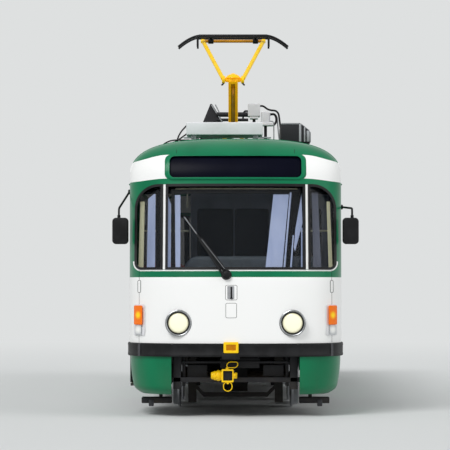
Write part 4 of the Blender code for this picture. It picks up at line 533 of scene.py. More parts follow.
def roof_point(turn, proud=0.0):
    """X and Z of the roof's section: turn runs from 0 at the left gutter to 1 at the right one."""
    angle = math.pi * turn
    across, up = math.cos(angle), max(0.0, math.sin(angle))
    x = (HALF_WIDTH + proud) * math.copysign(abs(across) ** (2 / ROOF_POWER), across)
    return x, GUTTER_Z + (ROOF_RISE + proud) * up ** (2 / ROOF_POWER)


def roof_z(x):
    """The roof's height at a distance from the middle."""
    share = min(1.0, abs(x) / HALF_WIDTH)
    return GUTTER_Z + ROOF_RISE * (1 - share**ROOF_POWER) ** (1 / ROOF_POWER)


def tubed(points, radius, closed=False, resolution=3):
    """A round bar through the points, bent from a curve and settled into a mesh."""
    alone()
    bpy.ops.curve.primitive_nurbs_path_add()
    bar = bpy.context.object
    bar.data.splines.clear()
    spline = bar.data.splines.new("POLY")
    spline.points.add(len(points) - 1)
    for point, place in zip(spline.points, points):
        point.co = (*place, 1.0)
    spline.use_cyclic_u = closed
    bar.data.dimensions = "3D"
    bar.data.bevel_depth = radius
    bar.data.bevel_resolution = resolution
    bar.data.use_fill_caps = not closed
    bpy.ops.object.convert(target="MESH")
    return bpy.context.object


def joined(pieces):
    """Makes one mesh of several."""
    alone(*pieces)
    if len(pieces) > 1:
        bpy.ops.object.join()
    return pieces[0]


def copied(piece, move=(0, 0, 0)):
    """A copy with its own mesh, moved."""
    alone(piece)
    bpy.ops.object.duplicate(linked=False)
    twin = bpy.context.object
    twin.data.transform(Matrix.Translation(move))
    return twin


def repeated(pattern, moves):
    """Copies of a pattern made one mesh. The pattern goes."""
    copies = [copied(pattern, move) for move in moves]
    scrapped(pattern)
    return joined(copies)


def roof_place(across, along):
    x, z = roof_point(0.5 - across)
    return x, along * 2 * (STRAIGHT - PANEL_GAP), z


sheet = thickened(closed_up(gridded(ROOF_COLUMNS, ROOF_ROWS, roof_place)), WALL)
finished(sheet, "roof_sheet", body_paint, ["roof"])

beads = [
    tubed(
        [(x, y, z) for x, z in (roof_point(0.04 + 0.92 * step / 40, 0.001) for step in range(41))],
        BEAD_RADIUS
    )
    for y in BEAD_YS
]
drips = [
    tubed([(side * (HALF_WIDTH + 0.004), y, DRIP_Z) for y in (-5.99, 5.99)], DRIP_RADIUS)
    for side in (-1, 1)
]
finished(joined(beads + drips), "roof_beads", body_paint)


# Side walls
# Steel panels on the frame, painted like the ends. Each window's corners are round, and the right wall is cut
# for three doorways.
PITCH = 1.32
DOOR_WIDTH, DOOR_TOP_Z = 1.30, 2.58
WINDOW_HALF = 0.55
WINDOW_LOW_Z, WINDOW_HIGH_Z = 1.706, 2.60
WINDOW_CORNER = 0.08
LEFT_WINDOWS = range(-4, 5)
RIGHT_WINDOWS = (-3, -2, -1, 1, 2, 3)
SIDES = (("left", 1), ("right", -1))
WINDOWS = (("left", 1, LEFT_WINDOWS), ("right", -1, RIGHT_WINDOWS))
DOOR_YS = (-4 * PITCH, 0.0, 4 * PITCH)


def window_plate(y, low_x, high_x, grow=0.0):
    low = (low_x, y - WINDOW_HALF - grow, WINDOW_LOW_Z - grow)
    return rounded_plate(
        "X", low, (high_x, y + WINDOW_HALF + grow, WINDOW_HIGH_Z + grow), WINDOW_CORNER + grow
    )


for word, side, places in WINDOWS:
    xs = span(side, HALF_WIDTH, HALF_WIDTH - WALL)
    end = STRAIGHT - PANEL_GAP
    wall = rounded_plate("X", (xs[0], -end, SILL_Z), (xs[1], end, GUTTER_Z - PANEL_GAP))
    tools = [window_plate(place * PITCH, xs[0] - OVERRUN, xs[1] + OVERRUN) for place in places]
    if side < 0:
        for y in DOOR_YS:
            low = (xs[0] - OVERRUN, y - DOOR_WIDTH / 2, SILL_Z - OVERRUN)
            tools.append(rounded_plate("X", low, (xs[1] + OVERRUN, y + DOOR_WIDTH / 2, DOOR_TOP_Z)))
    finished(cut_away(wall, joined(tools)), f"side_panel_{word}", body_paint, [f"side_wall_{word}"])


# Window rubbers
# Black extruded rubber clamps every pane into its opening and stands a few millimetres proud of the paint.
# Each side window has an aluminium sliding top light above a bar.
RUBBER_OUT, RUBBER_IN = 0.006, 0.024
RUBBER_PROUD = 0.006
TOP_LIGHT_Z = 2.34


def plain_finish(name, colour, worn, roughness, scale=5.0, wear=0.5, metallic=0.0, bump=0.2, shine=0.5):
    """A material of one colour that is clouded and worn towards another, with a fine grain."""
    coat, place = new_finish(name)
    cloud = place.grain(scale, 5.0)
    fine = place.grain(scale * 45, 2.0)
    amount = cloud.rise(0.42, 0.72) * wear
    return coat_with(
        coat,
        Base_Color=amount.coloured(colour, worn),
        Roughness=roughness + (cloud - 0.5) * 0.25,
        Metallic=metallic,
        Specular_IOR_Level=shine,
        Normal=(fine + cloud).bumped(0.0006, bump),
    )


black_trim = plain_finish("black_trim", tint(15, 15, 17), tint(36, 36, 38), 0.5, 8.0, shine=0.22)


for word, side in ENDS:
    sheet = wrapped(side, SILL_Z + 0.1, RUBBER_PROUD, WALL + RUBBER_PROUD)
    ring = cut_away(screen_tool(side, -RUBBER_OUT), screen_tool(side, RUBBER_IN))
    finished(kept_inside(sheet, ring), f"{word}_screen_rubber", black_trim)

for word, side, places in WINDOWS:
    xs = span(side, HALF_WIDTH + RUBBER_PROUD, HALF_WIDTH - WALL)
    inner = window_plate(0.0, xs[0] - OVERRUN, xs[1] + OVERRUN, -RUBBER_IN)
    ring = settle_bevel(cut_away(window_plate(0.0, *xs, RUBBER_OUT), inner), 0.003, 2)
    rings = repeated(ring, [(0, place * PITCH, 0) for place in places])
    finished(rings, f"window_rubbers_{word}", black_trim)


# Glass
# Tinted safety glass: a curved screen in three panes at each end, and flat panes along the sides. The inside
# lining round the side panes is a pale laminate.
PANE_GAP = 0.0005
PANE = 0.008
PANE_LAP = 0.014


def glass_finish(name, colour, clear, smeared):
    """Tinted glass that lets most light through, less so where it is smeared."""
    coat, place = new_finish(name)
    smear = place.grain(2.2, 5.0, (1.0, 1.0, 0.4))
    coat.surface_render_method = "BLENDED"
    return coat_with(
        coat,
        Base_Color=colour,
        Roughness=0.03 + smear * 0.05,
        Alpha=clear + smear.rise(0.35, 0.8) * smeared,
        Specular_IOR_Level=0.35,
    )


window_glass = glass_finish("window_glass", tint(16, 22, 28), 0.24, 0.06)
deep_glass = glass_finish("deep_glass", tint(12, 16, 20), 0.66, 0.08)
interior_laminate = plain_finish(
    "interior_laminate", tint(176, 180, 186), tint(140, 142, 146), 0.45, 3.0, 0.4
)

for word, side, node, coat in (
    ("front", -1, "windscreen", window_glass), ("rear", 1, "rear_window", deep_glass)
):
    pane = wrapped(side, SILL_Z + 0.2, -WALL - PANE_GAP, PANE)
    low_y, high_y = span(side, STRAIGHT + 0.01, PAST_NOSE)
    lap = PANE_LAP
    low, high = (-SCREEN_HALF - lap, low_y, SCREEN_LOW_Z - lap), (
        SCREEN_HALF + lap, high_y, SCREEN_HIGH_Z + lap
    )
    outline = rounded_plate("Y", low, high, SCREEN_CORNER, SCREEN_TOP_CORNER)
    finished(kept_inside(pane, outline), f"{word}_screen_glass", coat, [node], slot="window_glass")

for word, side, places in WINDOWS:
    wall_x = HALF_WIDTH - WALL
    xs = span(side, wall_x - PANE_GAP, wall_x - 0.006)
    panes = [window_plate(place * PITCH, *xs, -0.012) for place in places]
    finished(joined(panes), f"side_panes_{word}", window_glass, [f"side_glass_{word}"])
    xs = span(side, wall_x - 0.001, wall_x - 0.015)
    bands = [(-4, 4)] if side > 0 else [(-3, -1), (1, 3)]
    linings = []
    for first, last in bands:
        low = (xs[0], first * PITCH - WINDOW_HALF - 0.06, WINDOW_LOW_Z - 0.06)
        lining = rounded_plate(
            "X", low, (xs[1], last * PITCH + WINDOW_HALF + 0.06, WINDOW_HIGH_Z + 0.06), 0.02
        )
        holes = [
            window_plate(spot * PITCH, xs[0] - OVERRUN, xs[1] + OVERRUN, -0.010)
            for spot in places if first <= spot <= last
        ]
        linings.append(cut_away(lining, joined(holes)))
    finished(joined(linings), f"window_lining_{word}", interior_laminate)


# Bumper strips
# A black rubber extrusion round each end, with two raised ribs, and flat rub strips along the sides between
# the doorways.
BUMPER_PROFILE = (
    (0.0005, 0.700), (0.012, 0.700), (0.019, 0.708), (0.021, 0.726), (0.0175, 0.734), (0.0175, 0.818),
    (0.021, 0.826), (0.019, 0.846), (0.012, 0.854), (0.0005, 0.854)
)
RUB_STRIP = 0.012
RUB_STRIP_SPANS = {1: ((-5.99, 5.99),), -1: ((-4.61, -0.67), (0.67, 4.61))}


def swept(side, profile):
    """A closed section, given as how far it stands proud and its height, carried round an end."""
    count = len(profile)

    def place(across, along):
        proud, z = profile[round((along + 0.5) * count) % count]
        x, y = plan_point(math.pi * (0.5 - across), HALF_WIDTH + proud, NOSE_REACH + proud)
        return x, side * max(y, STRAIGHT + PANEL_GAP), z

    return closed_up(
        gridded(END_COLUMNS, count, place), remove_doubles={"threshold": WELD}, fill_holes={"sides": 0}
    )


for word, side in ENDS:
    strip = swept(side, BUMPER_PROFILE)
    finished(strip, f"{word}_bumper_strip", black_trim, [f"{word}_bumper"])
for word, side in SIDES:
    xs = span(side, HALF_WIDTH + 0.0003, HALF_WIDTH + RUB_STRIP)
    strips = [
        rounded_plate("X", (xs[0], low, SILL_Z), (xs[1], high, BUMPER_TOP_Z), bevel=0.004)
        for low, high in RUB_STRIP_SPANS[side]
    ]
    finished(joined(strips), f"rub_strip_{word}", black_trim)


# Bumper latch
# A cast hasp for the towing gear, painted yellow, in front of a black block under the bumper's edge.
LATCH_LOW, LATCH_HIGH = (-0.137, 0.745), (0.034, 0.871)
LATCH_FRAME = 0.030
YELLOW, DEEP_YELLOW = tint(242, 198, 8), tint(196, 134, 6)

yellow_paint, place = new_finish("yellow_paint")
chips = place.grain(38.0, 5.0).rise(0.62, 0.72)
cloud = place.grain(7.0, 4.0)
coat_with(
    yellow_paint,
    Base_Color=(chips * 0.55 | cloud.rise(0.5, 0.85) * 0.6).coloured(YELLOW, DEEP_YELLOW),
    Roughness=0.32 + cloud * 0.2,
    Normal=(place.grain(160.0, 2.0) + chips * -0.6).bumped(0.0006, 0.35),
    Specular_IOR_Level=0.3,
    # The yellow glows a little by emission: painted light that lifts its shaded sides.
    Emission_Color=YELLOW,
    Emission_Strength=0.10,
)
low, high = (LATCH_LOW[0], -7.0, LATCH_LOW[1]), (LATCH_HIGH[0], -6.972, LATCH_HIGH[1])
hasp = rounded_plate("Y", low, high, 0.012)
inner_low = (low[0] + LATCH_FRAME, -7.1, low[2] + LATCH_FRAME)
cut_away(hasp, rounded_plate("Y", inner_low, (high[0] - LATCH_FRAME, -6.9, high[2] - LATCH_FRAME), 0.006))
settle_bevel(hasp, 0.004, 2)
inner_low = (low[0] + 0.02, -6.992, low[2] + 0.02)
plug = rounded_plate("Y", inner_low, (high[0] - 0.02, -6.971, high[2] - 0.02), 0.004, bevel=0.002)
finished(hasp, "bumper_latch", yellow_paint)
amber = plain_finish("latch_plug", tint(196, 122, 2), tint(160, 96, 2), 0.4, 12.0, shine=0.15)
finished(plug, "bumper_latch_plug", amber, slot="yellow_paint")
block = rounded_plate("Y", (-0.157, -6.994, 0.672), (0.050, -6.93, 0.742), 0.004, bevel=0.004)
finished(block, "latch_block", black_trim)


# Skirts
# Glass-fibre covers hung under the body, tucked in and rounded under at the bottom. The long ones have an
# arch at each bogie and a slot over each lowest step.
SKIRT_LOW_Z = 0.26
SKIRT = 0.04
SKIRT_INSET, SKIRT_TUCK = 0.012, 0.06
SKIRT_ROUND, SKIRT_ROUND_SHARE = 0.075, 0.20
SKIRT_STEPS = 14
SKIRT_GAP_X = 0.738
BOGIE_Y = 3.20
ARCH_HALF, ARCH_TOP_Z, ARCH_CORNER = 1.38, 0.62, 0.12
STEP_SLOT_Z = 0.33


def skirt_profile():
    """The skirt's closed section: how far it stands proud of the body, always less than nothing, and z."""
    outer = []
    for step in range(SKIRT_STEPS + 1):
        share = (step / SKIRT_STEPS) ** 1.6
        under = max(0.0, 1 - share / SKIRT_ROUND_SHARE) ** 2
        proud = -SKIRT_INSET - SKIRT_TUCK * (1 - share) ** 2 - SKIRT_ROUND * under
        outer.append((proud, SKIRT_LOW_Z + share * (SILL_Z - PANEL_GAP - SKIRT_LOW_Z)))
    return outer + [(proud - SKIRT, z) for proud, z in reversed(outer)]


def pressed(axis, outline, low, high, bevel=0.0):
    """A solid with any outline, pressed along an axis from low to high."""
    through, across, up = AXES[axis]
    alone()
    bpy.ops.mesh.primitive_circle_add(vertices=len(outline), radius=1, fill_type="NGON")
    plate = bpy.context.object
    for vertex, (u, v) in zip(plate.data.vertices, outline):
        vertex.co[across], vertex.co[up], vertex.co[through] = u, v, low
    closed_up(plate, extrude_region_move=drawn_out(through, high - low))
    return settle_bevel(plate, bevel)


def boxed(low, high, bevel=0.004, corner=0.0, axis="Y"):
    """A block between two corners with eased edges."""
    return rounded_plate(axis, low, high, corner, bevel=bevel)


for word, side in ENDS:
    corners = swept(side, skirt_profile())
    ys = span(side, STRAIGHT - 0.1, PAST_NOSE)
    cut_away(corners, rounded_plate("Y", (-SKIRT_GAP_X, ys[0], 0.1), (SKIRT_GAP_X, ys[1], 0.9)))
    finished(corners, f"{word}_corner_skirts", body_paint, [f"{word}_skirt"])

for word, side in SIDES:
    outline = [(side * (HALF_WIDTH + proud), z) for proud, z in skirt_profile()]
    skirt = pressed("Y", outline, -STRAIGHT + PANEL_GAP, STRAIGHT - PANEL_GAP)
    xs = span(side, 1.0, 1.4)
    tools = [
        rounded_plate("X", (xs[0], y - ARCH_HALF, -0.1), (xs[1], y + ARCH_HALF, ARCH_TOP_Z), ARCH_CORNER)
        for y in (-BOGIE_Y, BOGIE_Y)
    ]
    if side < 0:
        tools += [
            rounded_plate("X", (xs[0], y - DOOR_WIDTH / 2, STEP_SLOT_Z), (xs[1], y + DOOR_WIDTH / 2, 0.8))
            for y in DOOR_YS
        ]
    finished(cut_away(skirt, joined(tools)), f"long_skirt_{word}", body_paint, [f"side_skirt_{word}"])


# End frames
# Dark painted steel behind the coupler at both ends: a crossbar between two hangers, a rail over it and the
# equipment brackets behind.
CROSSBAR_Z = (0.402, 0.459)
CROSSBAR_HALF = 0.80
HANGER_X, HANGER_HALF = 0.675, 0.045
FRAME_Y = 6.70
MIDDLE_RAIL_Z = 0.630

dark_steel, place = new_finish("dark_steel")
x, y, z = place.axes()
cloud = place.grain(6.0, 5.0)
grime = (0.75 - z).rise(0.0, 0.8) * cloud.rise(0.35, 0.7) * 0.5
coat_with(
    dark_steel,
    Base_Color=grime.coloured(cloud.coloured(tint(26, 26, 29), tint(46, 46, 50)), tint(78, 68, 56)),
    Roughness=0.48 + cloud * 0.2,
    Metallic=0.15,
    Specular_IOR_Level=0.3,
    Normal=(place.grain(180.0, 2.0) + cloud).bumped(0.0008, 0.3),
)

for word, side in ENDS:
    ys = span(side, FRAME_Y, FRAME_Y - 0.05)
    parts = [boxed((-CROSSBAR_HALF, ys[0], CROSSBAR_Z[0]), (CROSSBAR_HALF, ys[1], CROSSBAR_Z[1]), 0.006)]
    for x in (-HANGER_X, HANGER_X):
        parts.append(boxed((x - HANGER_HALF, ys[0], 0.32), (x + HANGER_HALF, ys[1], 0.8195), 0.006))
    ys = span(side, FRAME_Y - 0.06, FRAME_Y - 0.10)
    parts.append(boxed((-HANGER_X, ys[0], MIDDLE_RAIL_Z - 0.012), (HANGER_X, ys[1], MIDDLE_RAIL_Z + 0.012)))
    ys = span(side, FRAME_Y - 0.11, FRAME_Y - 0.28)
    for low_x, high_x, low_z, high_z in (
        (-0.56, -0.33, 0.45, 0.6), (0.32, 0.56, 0.47, 0.6), (-0.18, 0.28, 0.56, 0.68), (
            -0.62, -0.58, 0.35, 0.75
        ),
        (0.58, 0.62, 0.35, 0.75)
    ):
        parts.append(boxed((low_x, ys[0], low_z), (high_x, ys[1], high_z), 0.008))
    finished(joined(parts), f"{word}_crossbar", dark_steel)


# Sign
# A bare dark glass in the dome over the windscreen, in a raised rubber-sealed frame painted green. Three thin
# seams part the dome round it.
SIGN_FRAME = 0.0485
SIGN_FRAME_PROUD = 0.012


def end_patch(side, outer, inner, low, high, corner=0.0, bevel=0.0):
    """A plate that follows the end's surface, cut out between two corners seen from the front."""
    sheet = wrapped(side, max(SILL_Z - 0.05, min(low[1], GUTTER_Z) - 0.1), outer, outer - inner)
    ys = span(side, STRAIGHT + 0.01, PAST_NOSE)
    tool = rounded_plate("Y", (low[0], ys[0], low[1]), (high[0], ys[1], high[1]), corner)
    return settle_bevel(kept_inside(sheet, tool), bevel, 2)


sign_glass, place = new_finish("sign_glass")
coat_with(
    sign_glass, Base_Color=place.grain(3.0).coloured(tint(2, 3, 16), tint(8, 10, 26)),
    Roughness=0.30 + place.grain(9.0, 4.0) * 0.1, Specular_IOR_Level=0.05
)
pane = end_patch(-1, -0.012, -0.045, (-SIGN_HALF, SIGN_LOW_Z), (SIGN_HALF, SIGN_HIGH_Z), SIGN_CORNER)
finished(pane, "sign_pane", sign_glass, ["front_sign"])

low, high = (-SIGN_HALF - SIGN_FRAME, SIGN_LOW_Z - 0.024), (SIGN_HALF + SIGN_FRAME, SIGN_HIGH_Z + 0.016)
rim = end_patch(-1, SIGN_FRAME_PROUD, -0.03, low, high, SIGN_CORNER + 0.03)
hole = rounded_plate("Y", (-SIGN_HALF, -PAST_NOSE, SIGN_LOW_Z), (SIGN_HALF, -6.0, SIGN_HIGH_Z), SIGN_CORNER)
finished(settle_bevel(cut_away(rim, hole), 0.004, 2), "sign_frame", body_paint)


# Headlights
# Round lamps sunk into the front: a bright pressed ring, a black rubber ring inside it and a domed, fluted
# lens. All three are turned about the lamp's axis.
FINE_WELD = 0.00002


def both_ways(half):
    """A whole section from the half of it that lies at positive places along the axis."""
    return [*half, *((radius, -along) for radius, along in reversed(half))]


def turned(profile, centre, axis, steps=64):
    """A solid turned about an axis from a closed profile of radii and places along the axis."""
    alone()
    bpy.ops.mesh.primitive_circle_add(vertices=len(profile), radius=1, fill_type="NOTHING")
    solid = bpy.context.object
    for vertex, (radius, along) in zip(solid.data.vertices, profile):
        vertex.co = (radius, 0.0, along)
    round_trip = {"steps": steps, "angle": 2 * math.pi, "center": (0, 0, 0), "axis": (0, 0, 1)}
    closed_up(solid, spin=round_trip, remove_doubles={"threshold": FINE_WELD})
    turn = Vector(axis).to_track_quat("Z", "Y").to_matrix().to_4x4()
    solid.data.transform(Matrix.Translation(centre) @ turn)
    return solid


HEADLIGHT_FACE = 0.035
BEZEL = (
    (0.1525, -0.10), (0.1528, -0.008), (0.1500, 0.001), (0.1420, 0.005), (0.1340, 0.002), (0.1285, -0.006),
    (0.1285, -0.10)
)
GASKET = (
    (0.1283, -0.09), (0.1283, -0.005), (0.1250, -0.002), (0.1180, -0.003), (0.1150, -0.010), (0.1150, -0.09)
)
LENS = (
    (0.0, 0.0115), (0.030, 0.0112), (0.058, 0.0095), (0.082, 0.0062), (0.100, 0.0018), (0.110, -0.0035),
    (0.1148, -0.011), (0.1148, -0.085), (0.0, -0.085)
)

bright_metal = plain_finish(
    "bright_metal", tint(150, 152, 154), tint(116, 118, 120), 0.28, 9.0, 0.5, 0.85, 0.1
)
lamp_glass, place = new_finish("lamp_glass")
x, y, z = place.axes()
flutes = (x * 700.0).maths("SINE", x * 420.0)
radius = x.maths(
    "SQRT", (abs(x) - HEADLIGHT_X) * (abs(x) - HEADLIGHT_X) + (z - HEADLIGHT_Z) * (z - HEADLIGHT_Z)
)
edge = radius.rise(0.085, 0.118)
coat_with(
    lamp_glass,
    Base_Color=edge.coloured(tint(250, 248, 218), tint(206, 202, 168)),
    Roughness=0.12 + place.grain(20.0) * 0.08,
    Normal=flutes.bumped(0.0012, 0.35),
    Coat_Weight=0.6,
    Emission_Color=tint(255, 250, 214),
    Emission_Strength=0.16,
)

for word, way in SIDES:
    centre = Vector((way * HEADLIGHT_X, end_y(-1, HEADLIGHT_X, HEADLIGHT_Z) - HEADLIGHT_FACE, HEADLIGHT_Z))
    for piece, profile, slot, coat, nodes in (
        ("lens", LENS, "lamp_glass", lamp_glass, [f"headlight_{word}"]),
        ("ring", BEZEL, "white_equipment", bright_metal, ()),
        ("rubber", GASKET, "black_trim", black_trim, ()),
    ):
        finished(turned(profile, centre, (0, -1, 0)), f"headlight_{piece}_{word}", coat, nodes, slot=slot)


def cap(radius, height, ease_in, ease_down):
    """The section of a round cap with an eased edge, which stands on its base."""
    return (0.0, height), (radius - ease_in, height), (
        radius, height - ease_down
    ), (radius, 0.0), (0.0, 0.0)


# Corner lamps
# An orange indicator over a clear side lamp, ribbed inside, with a bulb glowing through, on a pale plate that
# follows the corner. At the rear one tall red lamp stands in each corner.
INDICATOR_X, INDICATOR_Z = 1.13, 1.176
INDICATOR_WIDTH, INDICATOR_HEIGHT = 0.102, 0.2235
SIDELAMP_Z, SIDELAMP_WIDTH, SIDELAMP_HEIGHT = 1.008, 0.08, 0.112
LAMP_PLATE = 0.011
TAIL_X, TAIL_Z, TAIL_WIDTH, TAIL_HEIGHT = 0.98, 1.16, 0.13, 0.36


def lens_finish(name, colour, glow, centre_x, centre_z, reach_x, reach_z, strength):
    """A ribbed coloured lens that is brighter where its bulb stands behind it."""
    coat, place = new_finish(name)
    x, y, z = place.axes()
    across, up = (abs(x) - centre_x) / reach_x, (z - centre_z) / reach_z
    away = x.maths("SQRT", across * across + up * up)
    bulb = 1.0 - away.rise(0.15, 1.0)
    ribs = z.maths("SINE", z * 520.0)
    return coat_with(
        coat,
        Base_Color=bulb.coloured(colour, glow),
        Emission_Color=bulb.coloured(colour, glow),
        Emission_Strength=strength,
        Roughness=0.14 + place.grain(30.0) * 0.1,
        Normal=ribs.bumped(0.0015, 0.4),
        Specular_IOR_Level=0.2,
    )


orange_lens = lens_finish(
    "orange_lens", tint(238, 112, 0), tint(255, 210, 20), INDICATOR_X, INDICATOR_Z, 0.044, 0.060, 0.12
)
clear_lens = lens_finish(
    "clear_lens", tint(196, 198, 200), tint(244, 244, 240), INDICATOR_X, SIDELAMP_Z, 0.05, 0.06, 0.05
)
red_lens = lens_finish("red_lens", tint(150, 10, 14), tint(214, 34, 26), TAIL_X, TAIL_Z, 0.07, 0.16, 0.08)
white_equipment = plain_finish(
    "white_equipment", tint(228, 228, 231), tint(200, 200, 198), 0.42, 4.0, 0.35, shine=0.25
)

for word, way in SIDES:
    for piece, z, width, height, proud, coat, slot in (
        (
            "indicator_lens", INDICATOR_Z, INDICATOR_WIDTH, INDICATOR_HEIGHT, 0.034, orange_lens,
            "orange_lens"
        ),
        ("side_lamp", SIDELAMP_Z, SIDELAMP_WIDTH, SIDELAMP_HEIGHT, 0.025, clear_lens, "lamp_glass"),
    ):
        xs = span(way, INDICATOR_X - width / 2, INDICATOR_X + width / 2)
        low, high = (xs[0], z - height / 2 + 0.001), (xs[1], z + height / 2 - 0.001)
        lens = end_patch(-1, proud, LAMP_PLATE + 0.0005, low, high, 0.014, 0.004)
        nodes = [f"indicator_{word}"] if coat is orange_lens else ()
        finished(lens, f"{piece}_{word}", coat, nodes, slot=slot)
    xs = span(way, INDICATOR_X - 0.081, INDICATOR_X + 0.052)
    plate = end_patch(-1, LAMP_PLATE, 0.0005, (xs[0], 0.942), (xs[1], 1.299), 0.016, 0.003)
    finished(plate, f"lamp_plate_{word}", white_equipment)
    xs = span(way, TAIL_X - TAIL_WIDTH / 2, TAIL_X + TAIL_WIDTH / 2)
    low, high = (xs[0], TAIL_Z - TAIL_HEIGHT / 2), (xs[1], TAIL_Z + TAIL_HEIGHT / 2)
    lens = end_patch(1, 0.034, 0.0005, low, high, 0.03, 0.006)
    finished(lens, f"tail_lens_{word}", red_lens, [f"tail_lamp_{word}"])


# Door leaves
# Twelve folding leaves of pressed sheet on a frame: a tall window in rubber, a rubber edge on each side, a
# hinge along the fold and a grab bar inside each leading leaf. One leaf is made and copied.
LEAF_LOW_X, LEAF_HIGH_X = -1.25, -1.22
LEAF_WIDTH = 0.3135
LEAF_LOW_Z, LEAF_HIGH_Z = 0.372, 2.570
LEAF_WINDOW, LEAF_CORNER = (0.045, 1.20, 2.47), 0.045
POST_GAP, FOLD_GAP = 0.012, 0.006
EDGE_RUBBER = 0.012
POST_HINGE = 0.040
KNUCKLE = 0.0037
GRAB_Z = 1.12
GRAB_LINE = (
    (-0.002, -0.09), (0.030, -0.09), (0.034, -0.082), (0.034, 0.082), (0.030, 0.09), (-0.002, 0.09)
)


def leaf_plate(grow, low_x, high_x):
    """A plate the shape of the leaf's window, grown all round."""
    inset, low_z, high_z = LEAF_WINDOW
    low = (low_x, inset - grow, low_z - grow)
    return rounded_plate("X", low, (high_x, LEAF_WIDTH - inset + grow, high_z + grow), LEAF_CORNER + grow)


skin = rounded_plate(
    "X", (LEAF_LOW_X, EDGE_RUBBER, LEAF_LOW_Z), (LEAF_HIGH_X, LEAF_WIDTH - EDGE_RUBBER, LEAF_HIGH_Z)
)
dent = rounded_plate(
    "X", (LEAF_LOW_X - OVERRUN, 0.05, 0.46), (LEAF_LOW_X + 0.004, LEAF_WIDTH - 0.05, 1.10), 0.02
)
settle_bevel(cut_away(skin, leaf_plate(0.0, LEAF_LOW_X - OVERRUN, LEAF_HIGH_X + OVERRUN), dent), 0.0025, 2)
seal = leaf_plate(0.006, LEAF_LOW_X - 0.001, LEAF_HIGH_X + 0.001)
settle_bevel(cut_away(seal, leaf_plate(-0.016, LEAF_LOW_X - OVERRUN, LEAF_HIGH_X + OVERRUN)), 0.002, 2)
edges = [
    rounded_plate(
        "X", (LEAF_LOW_X + 0.002, low_y, LEAF_LOW_Z + 0.002),
        (LEAF_HIGH_X - 0.002, low_y + EDGE_RUBBER, LEAF_HIGH_Z - 0.002), bevel=0.003
    )
    for low_y in (0.0003, LEAF_WIDTH - EDGE_RUBBER - 0.0003)
]
trim = joined([seal, *edges])
glass = leaf_plate(-0.012, LEAF_LOW_X + 0.012, LEAF_LOW_X + 0.018)
grab = tubed(
    [(LEAF_HIGH_X + x, LEAF_WIDTH / 2 + y, GRAB_Z) for x, y in GRAB_LINE], 0.008
)
hinge_z = (LEAF_LOW_Z + 0.15, LEAF_HIGH_Z - 0.15)
for door, middle in zip(("front_door", "middle_door", "rear_door"), DOOR_YS):
    for half, way in (("fore", 1), ("aft", -1)):
        post = middle - way * DOOR_WIDTH / 2
        for leaf, first in (
            ("post", post + way * POST_GAP), ("lead", post + way * (POST_GAP + LEAF_WIDTH + FOLD_GAP))
        ):
            move = (0.0, min(first, first + way * LEAF_WIDTH), 0.0)
            name = f"{door}_{half}_{leaf}"
            body = f"{name}_leaf"
            finished(copied(skin, move), f"{name}_skin", body_paint, [body], body=body)
            finished(copied(trim, move), f"{name}_rubber", black_trim, body=body)
            finished(copied(glass, move), f"{name}_glass", window_glass, body=body)
            if leaf == "lead":
                finished(copied(grab, move), f"{name}_grab", bright_metal, slot="grab_rail", body=body)
        fold_y = post + way * (POST_GAP + LEAF_WIDTH + FOLD_GAP / 2)
        hinge = [tubed([(LEAF_LOW_X - FOLD_GAP / 2, fold_y, z) for z in hinge_z], KNUCKLE)]
        ys = sorted((fold_y, fold_y - way * 0.020))
        hinge.append(boxed((-1.2545, ys[0], hinge_z[0] + 0.01), (-1.2500, ys[1], hinge_z[1] - 0.01), 0.001))
        pin_y = post + way * (POST_GAP + POST_HINGE)
        hinge.append(tubed([(-1.235, pin_y, z) for z in (LEAF_HIGH_Z - 0.01, DOOR_TOP_Z - 0.0005)], 0.0098))
        finished(joined(hinge), f"{door}_{half}_hinge", dark_steel, body=f"{door}_{half}_post_leaf")
scrapped(skin, trim, glass, grab)


# Wheelsets
# Steel axles with pressed-on wheels: a bright worn tread and flange, a dark rim and a dished web with eight
# bolts round the hub.
AXLE_Z = 0.375
WHEEL_BACK = 0.685
FLANGE_RADIUS = 0.375
WHEEL_OUTER = WHEEL_BACK + 0.100
AXLE_YS = (-4.15, -2.25, 2.25, 4.15)
WHEEL_PROFILE = (
    (0.0, WHEEL_OUTER + 0.012), (
        0.118, WHEEL_OUTER + 0.012
    ), (0.130, WHEEL_OUTER + 0.004), (0.130, WHEEL_BACK + 0.060),
    (0.150, WHEEL_BACK + 0.047), (0.262, WHEEL_BACK + 0.045), (0.288, WHEEL_BACK + 0.056), (
        0.294, WHEEL_OUTER - 0.004
    ),
    (0.300, WHEEL_OUTER), (0.338, WHEEL_OUTER), (0.3465, WHEEL_OUTER - 0.008), (0.3498, WHEEL_BACK + 0.050),
    (0.351, WHEEL_BACK + 0.040), (
        0.357, WHEEL_BACK + 0.0325
    ), (0.367, WHEEL_BACK + 0.026), (0.3735, WHEEL_BACK + 0.018),
    (
        FLANGE_RADIUS, WHEEL_BACK + 0.011
    ), (0.3715, WHEEL_BACK + 0.003), (0.365, WHEEL_BACK), (0.300, WHEEL_BACK),
    (
        0.285, WHEEL_BACK + 0.012
    ), (0.150, WHEEL_BACK + 0.012), (0.130, WHEEL_BACK - 0.004), (0.070, WHEEL_BACK - 0.004),
    (0.065, WHEEL_BACK - 0.010)
)
BOLT_CIRCLE = 0.200

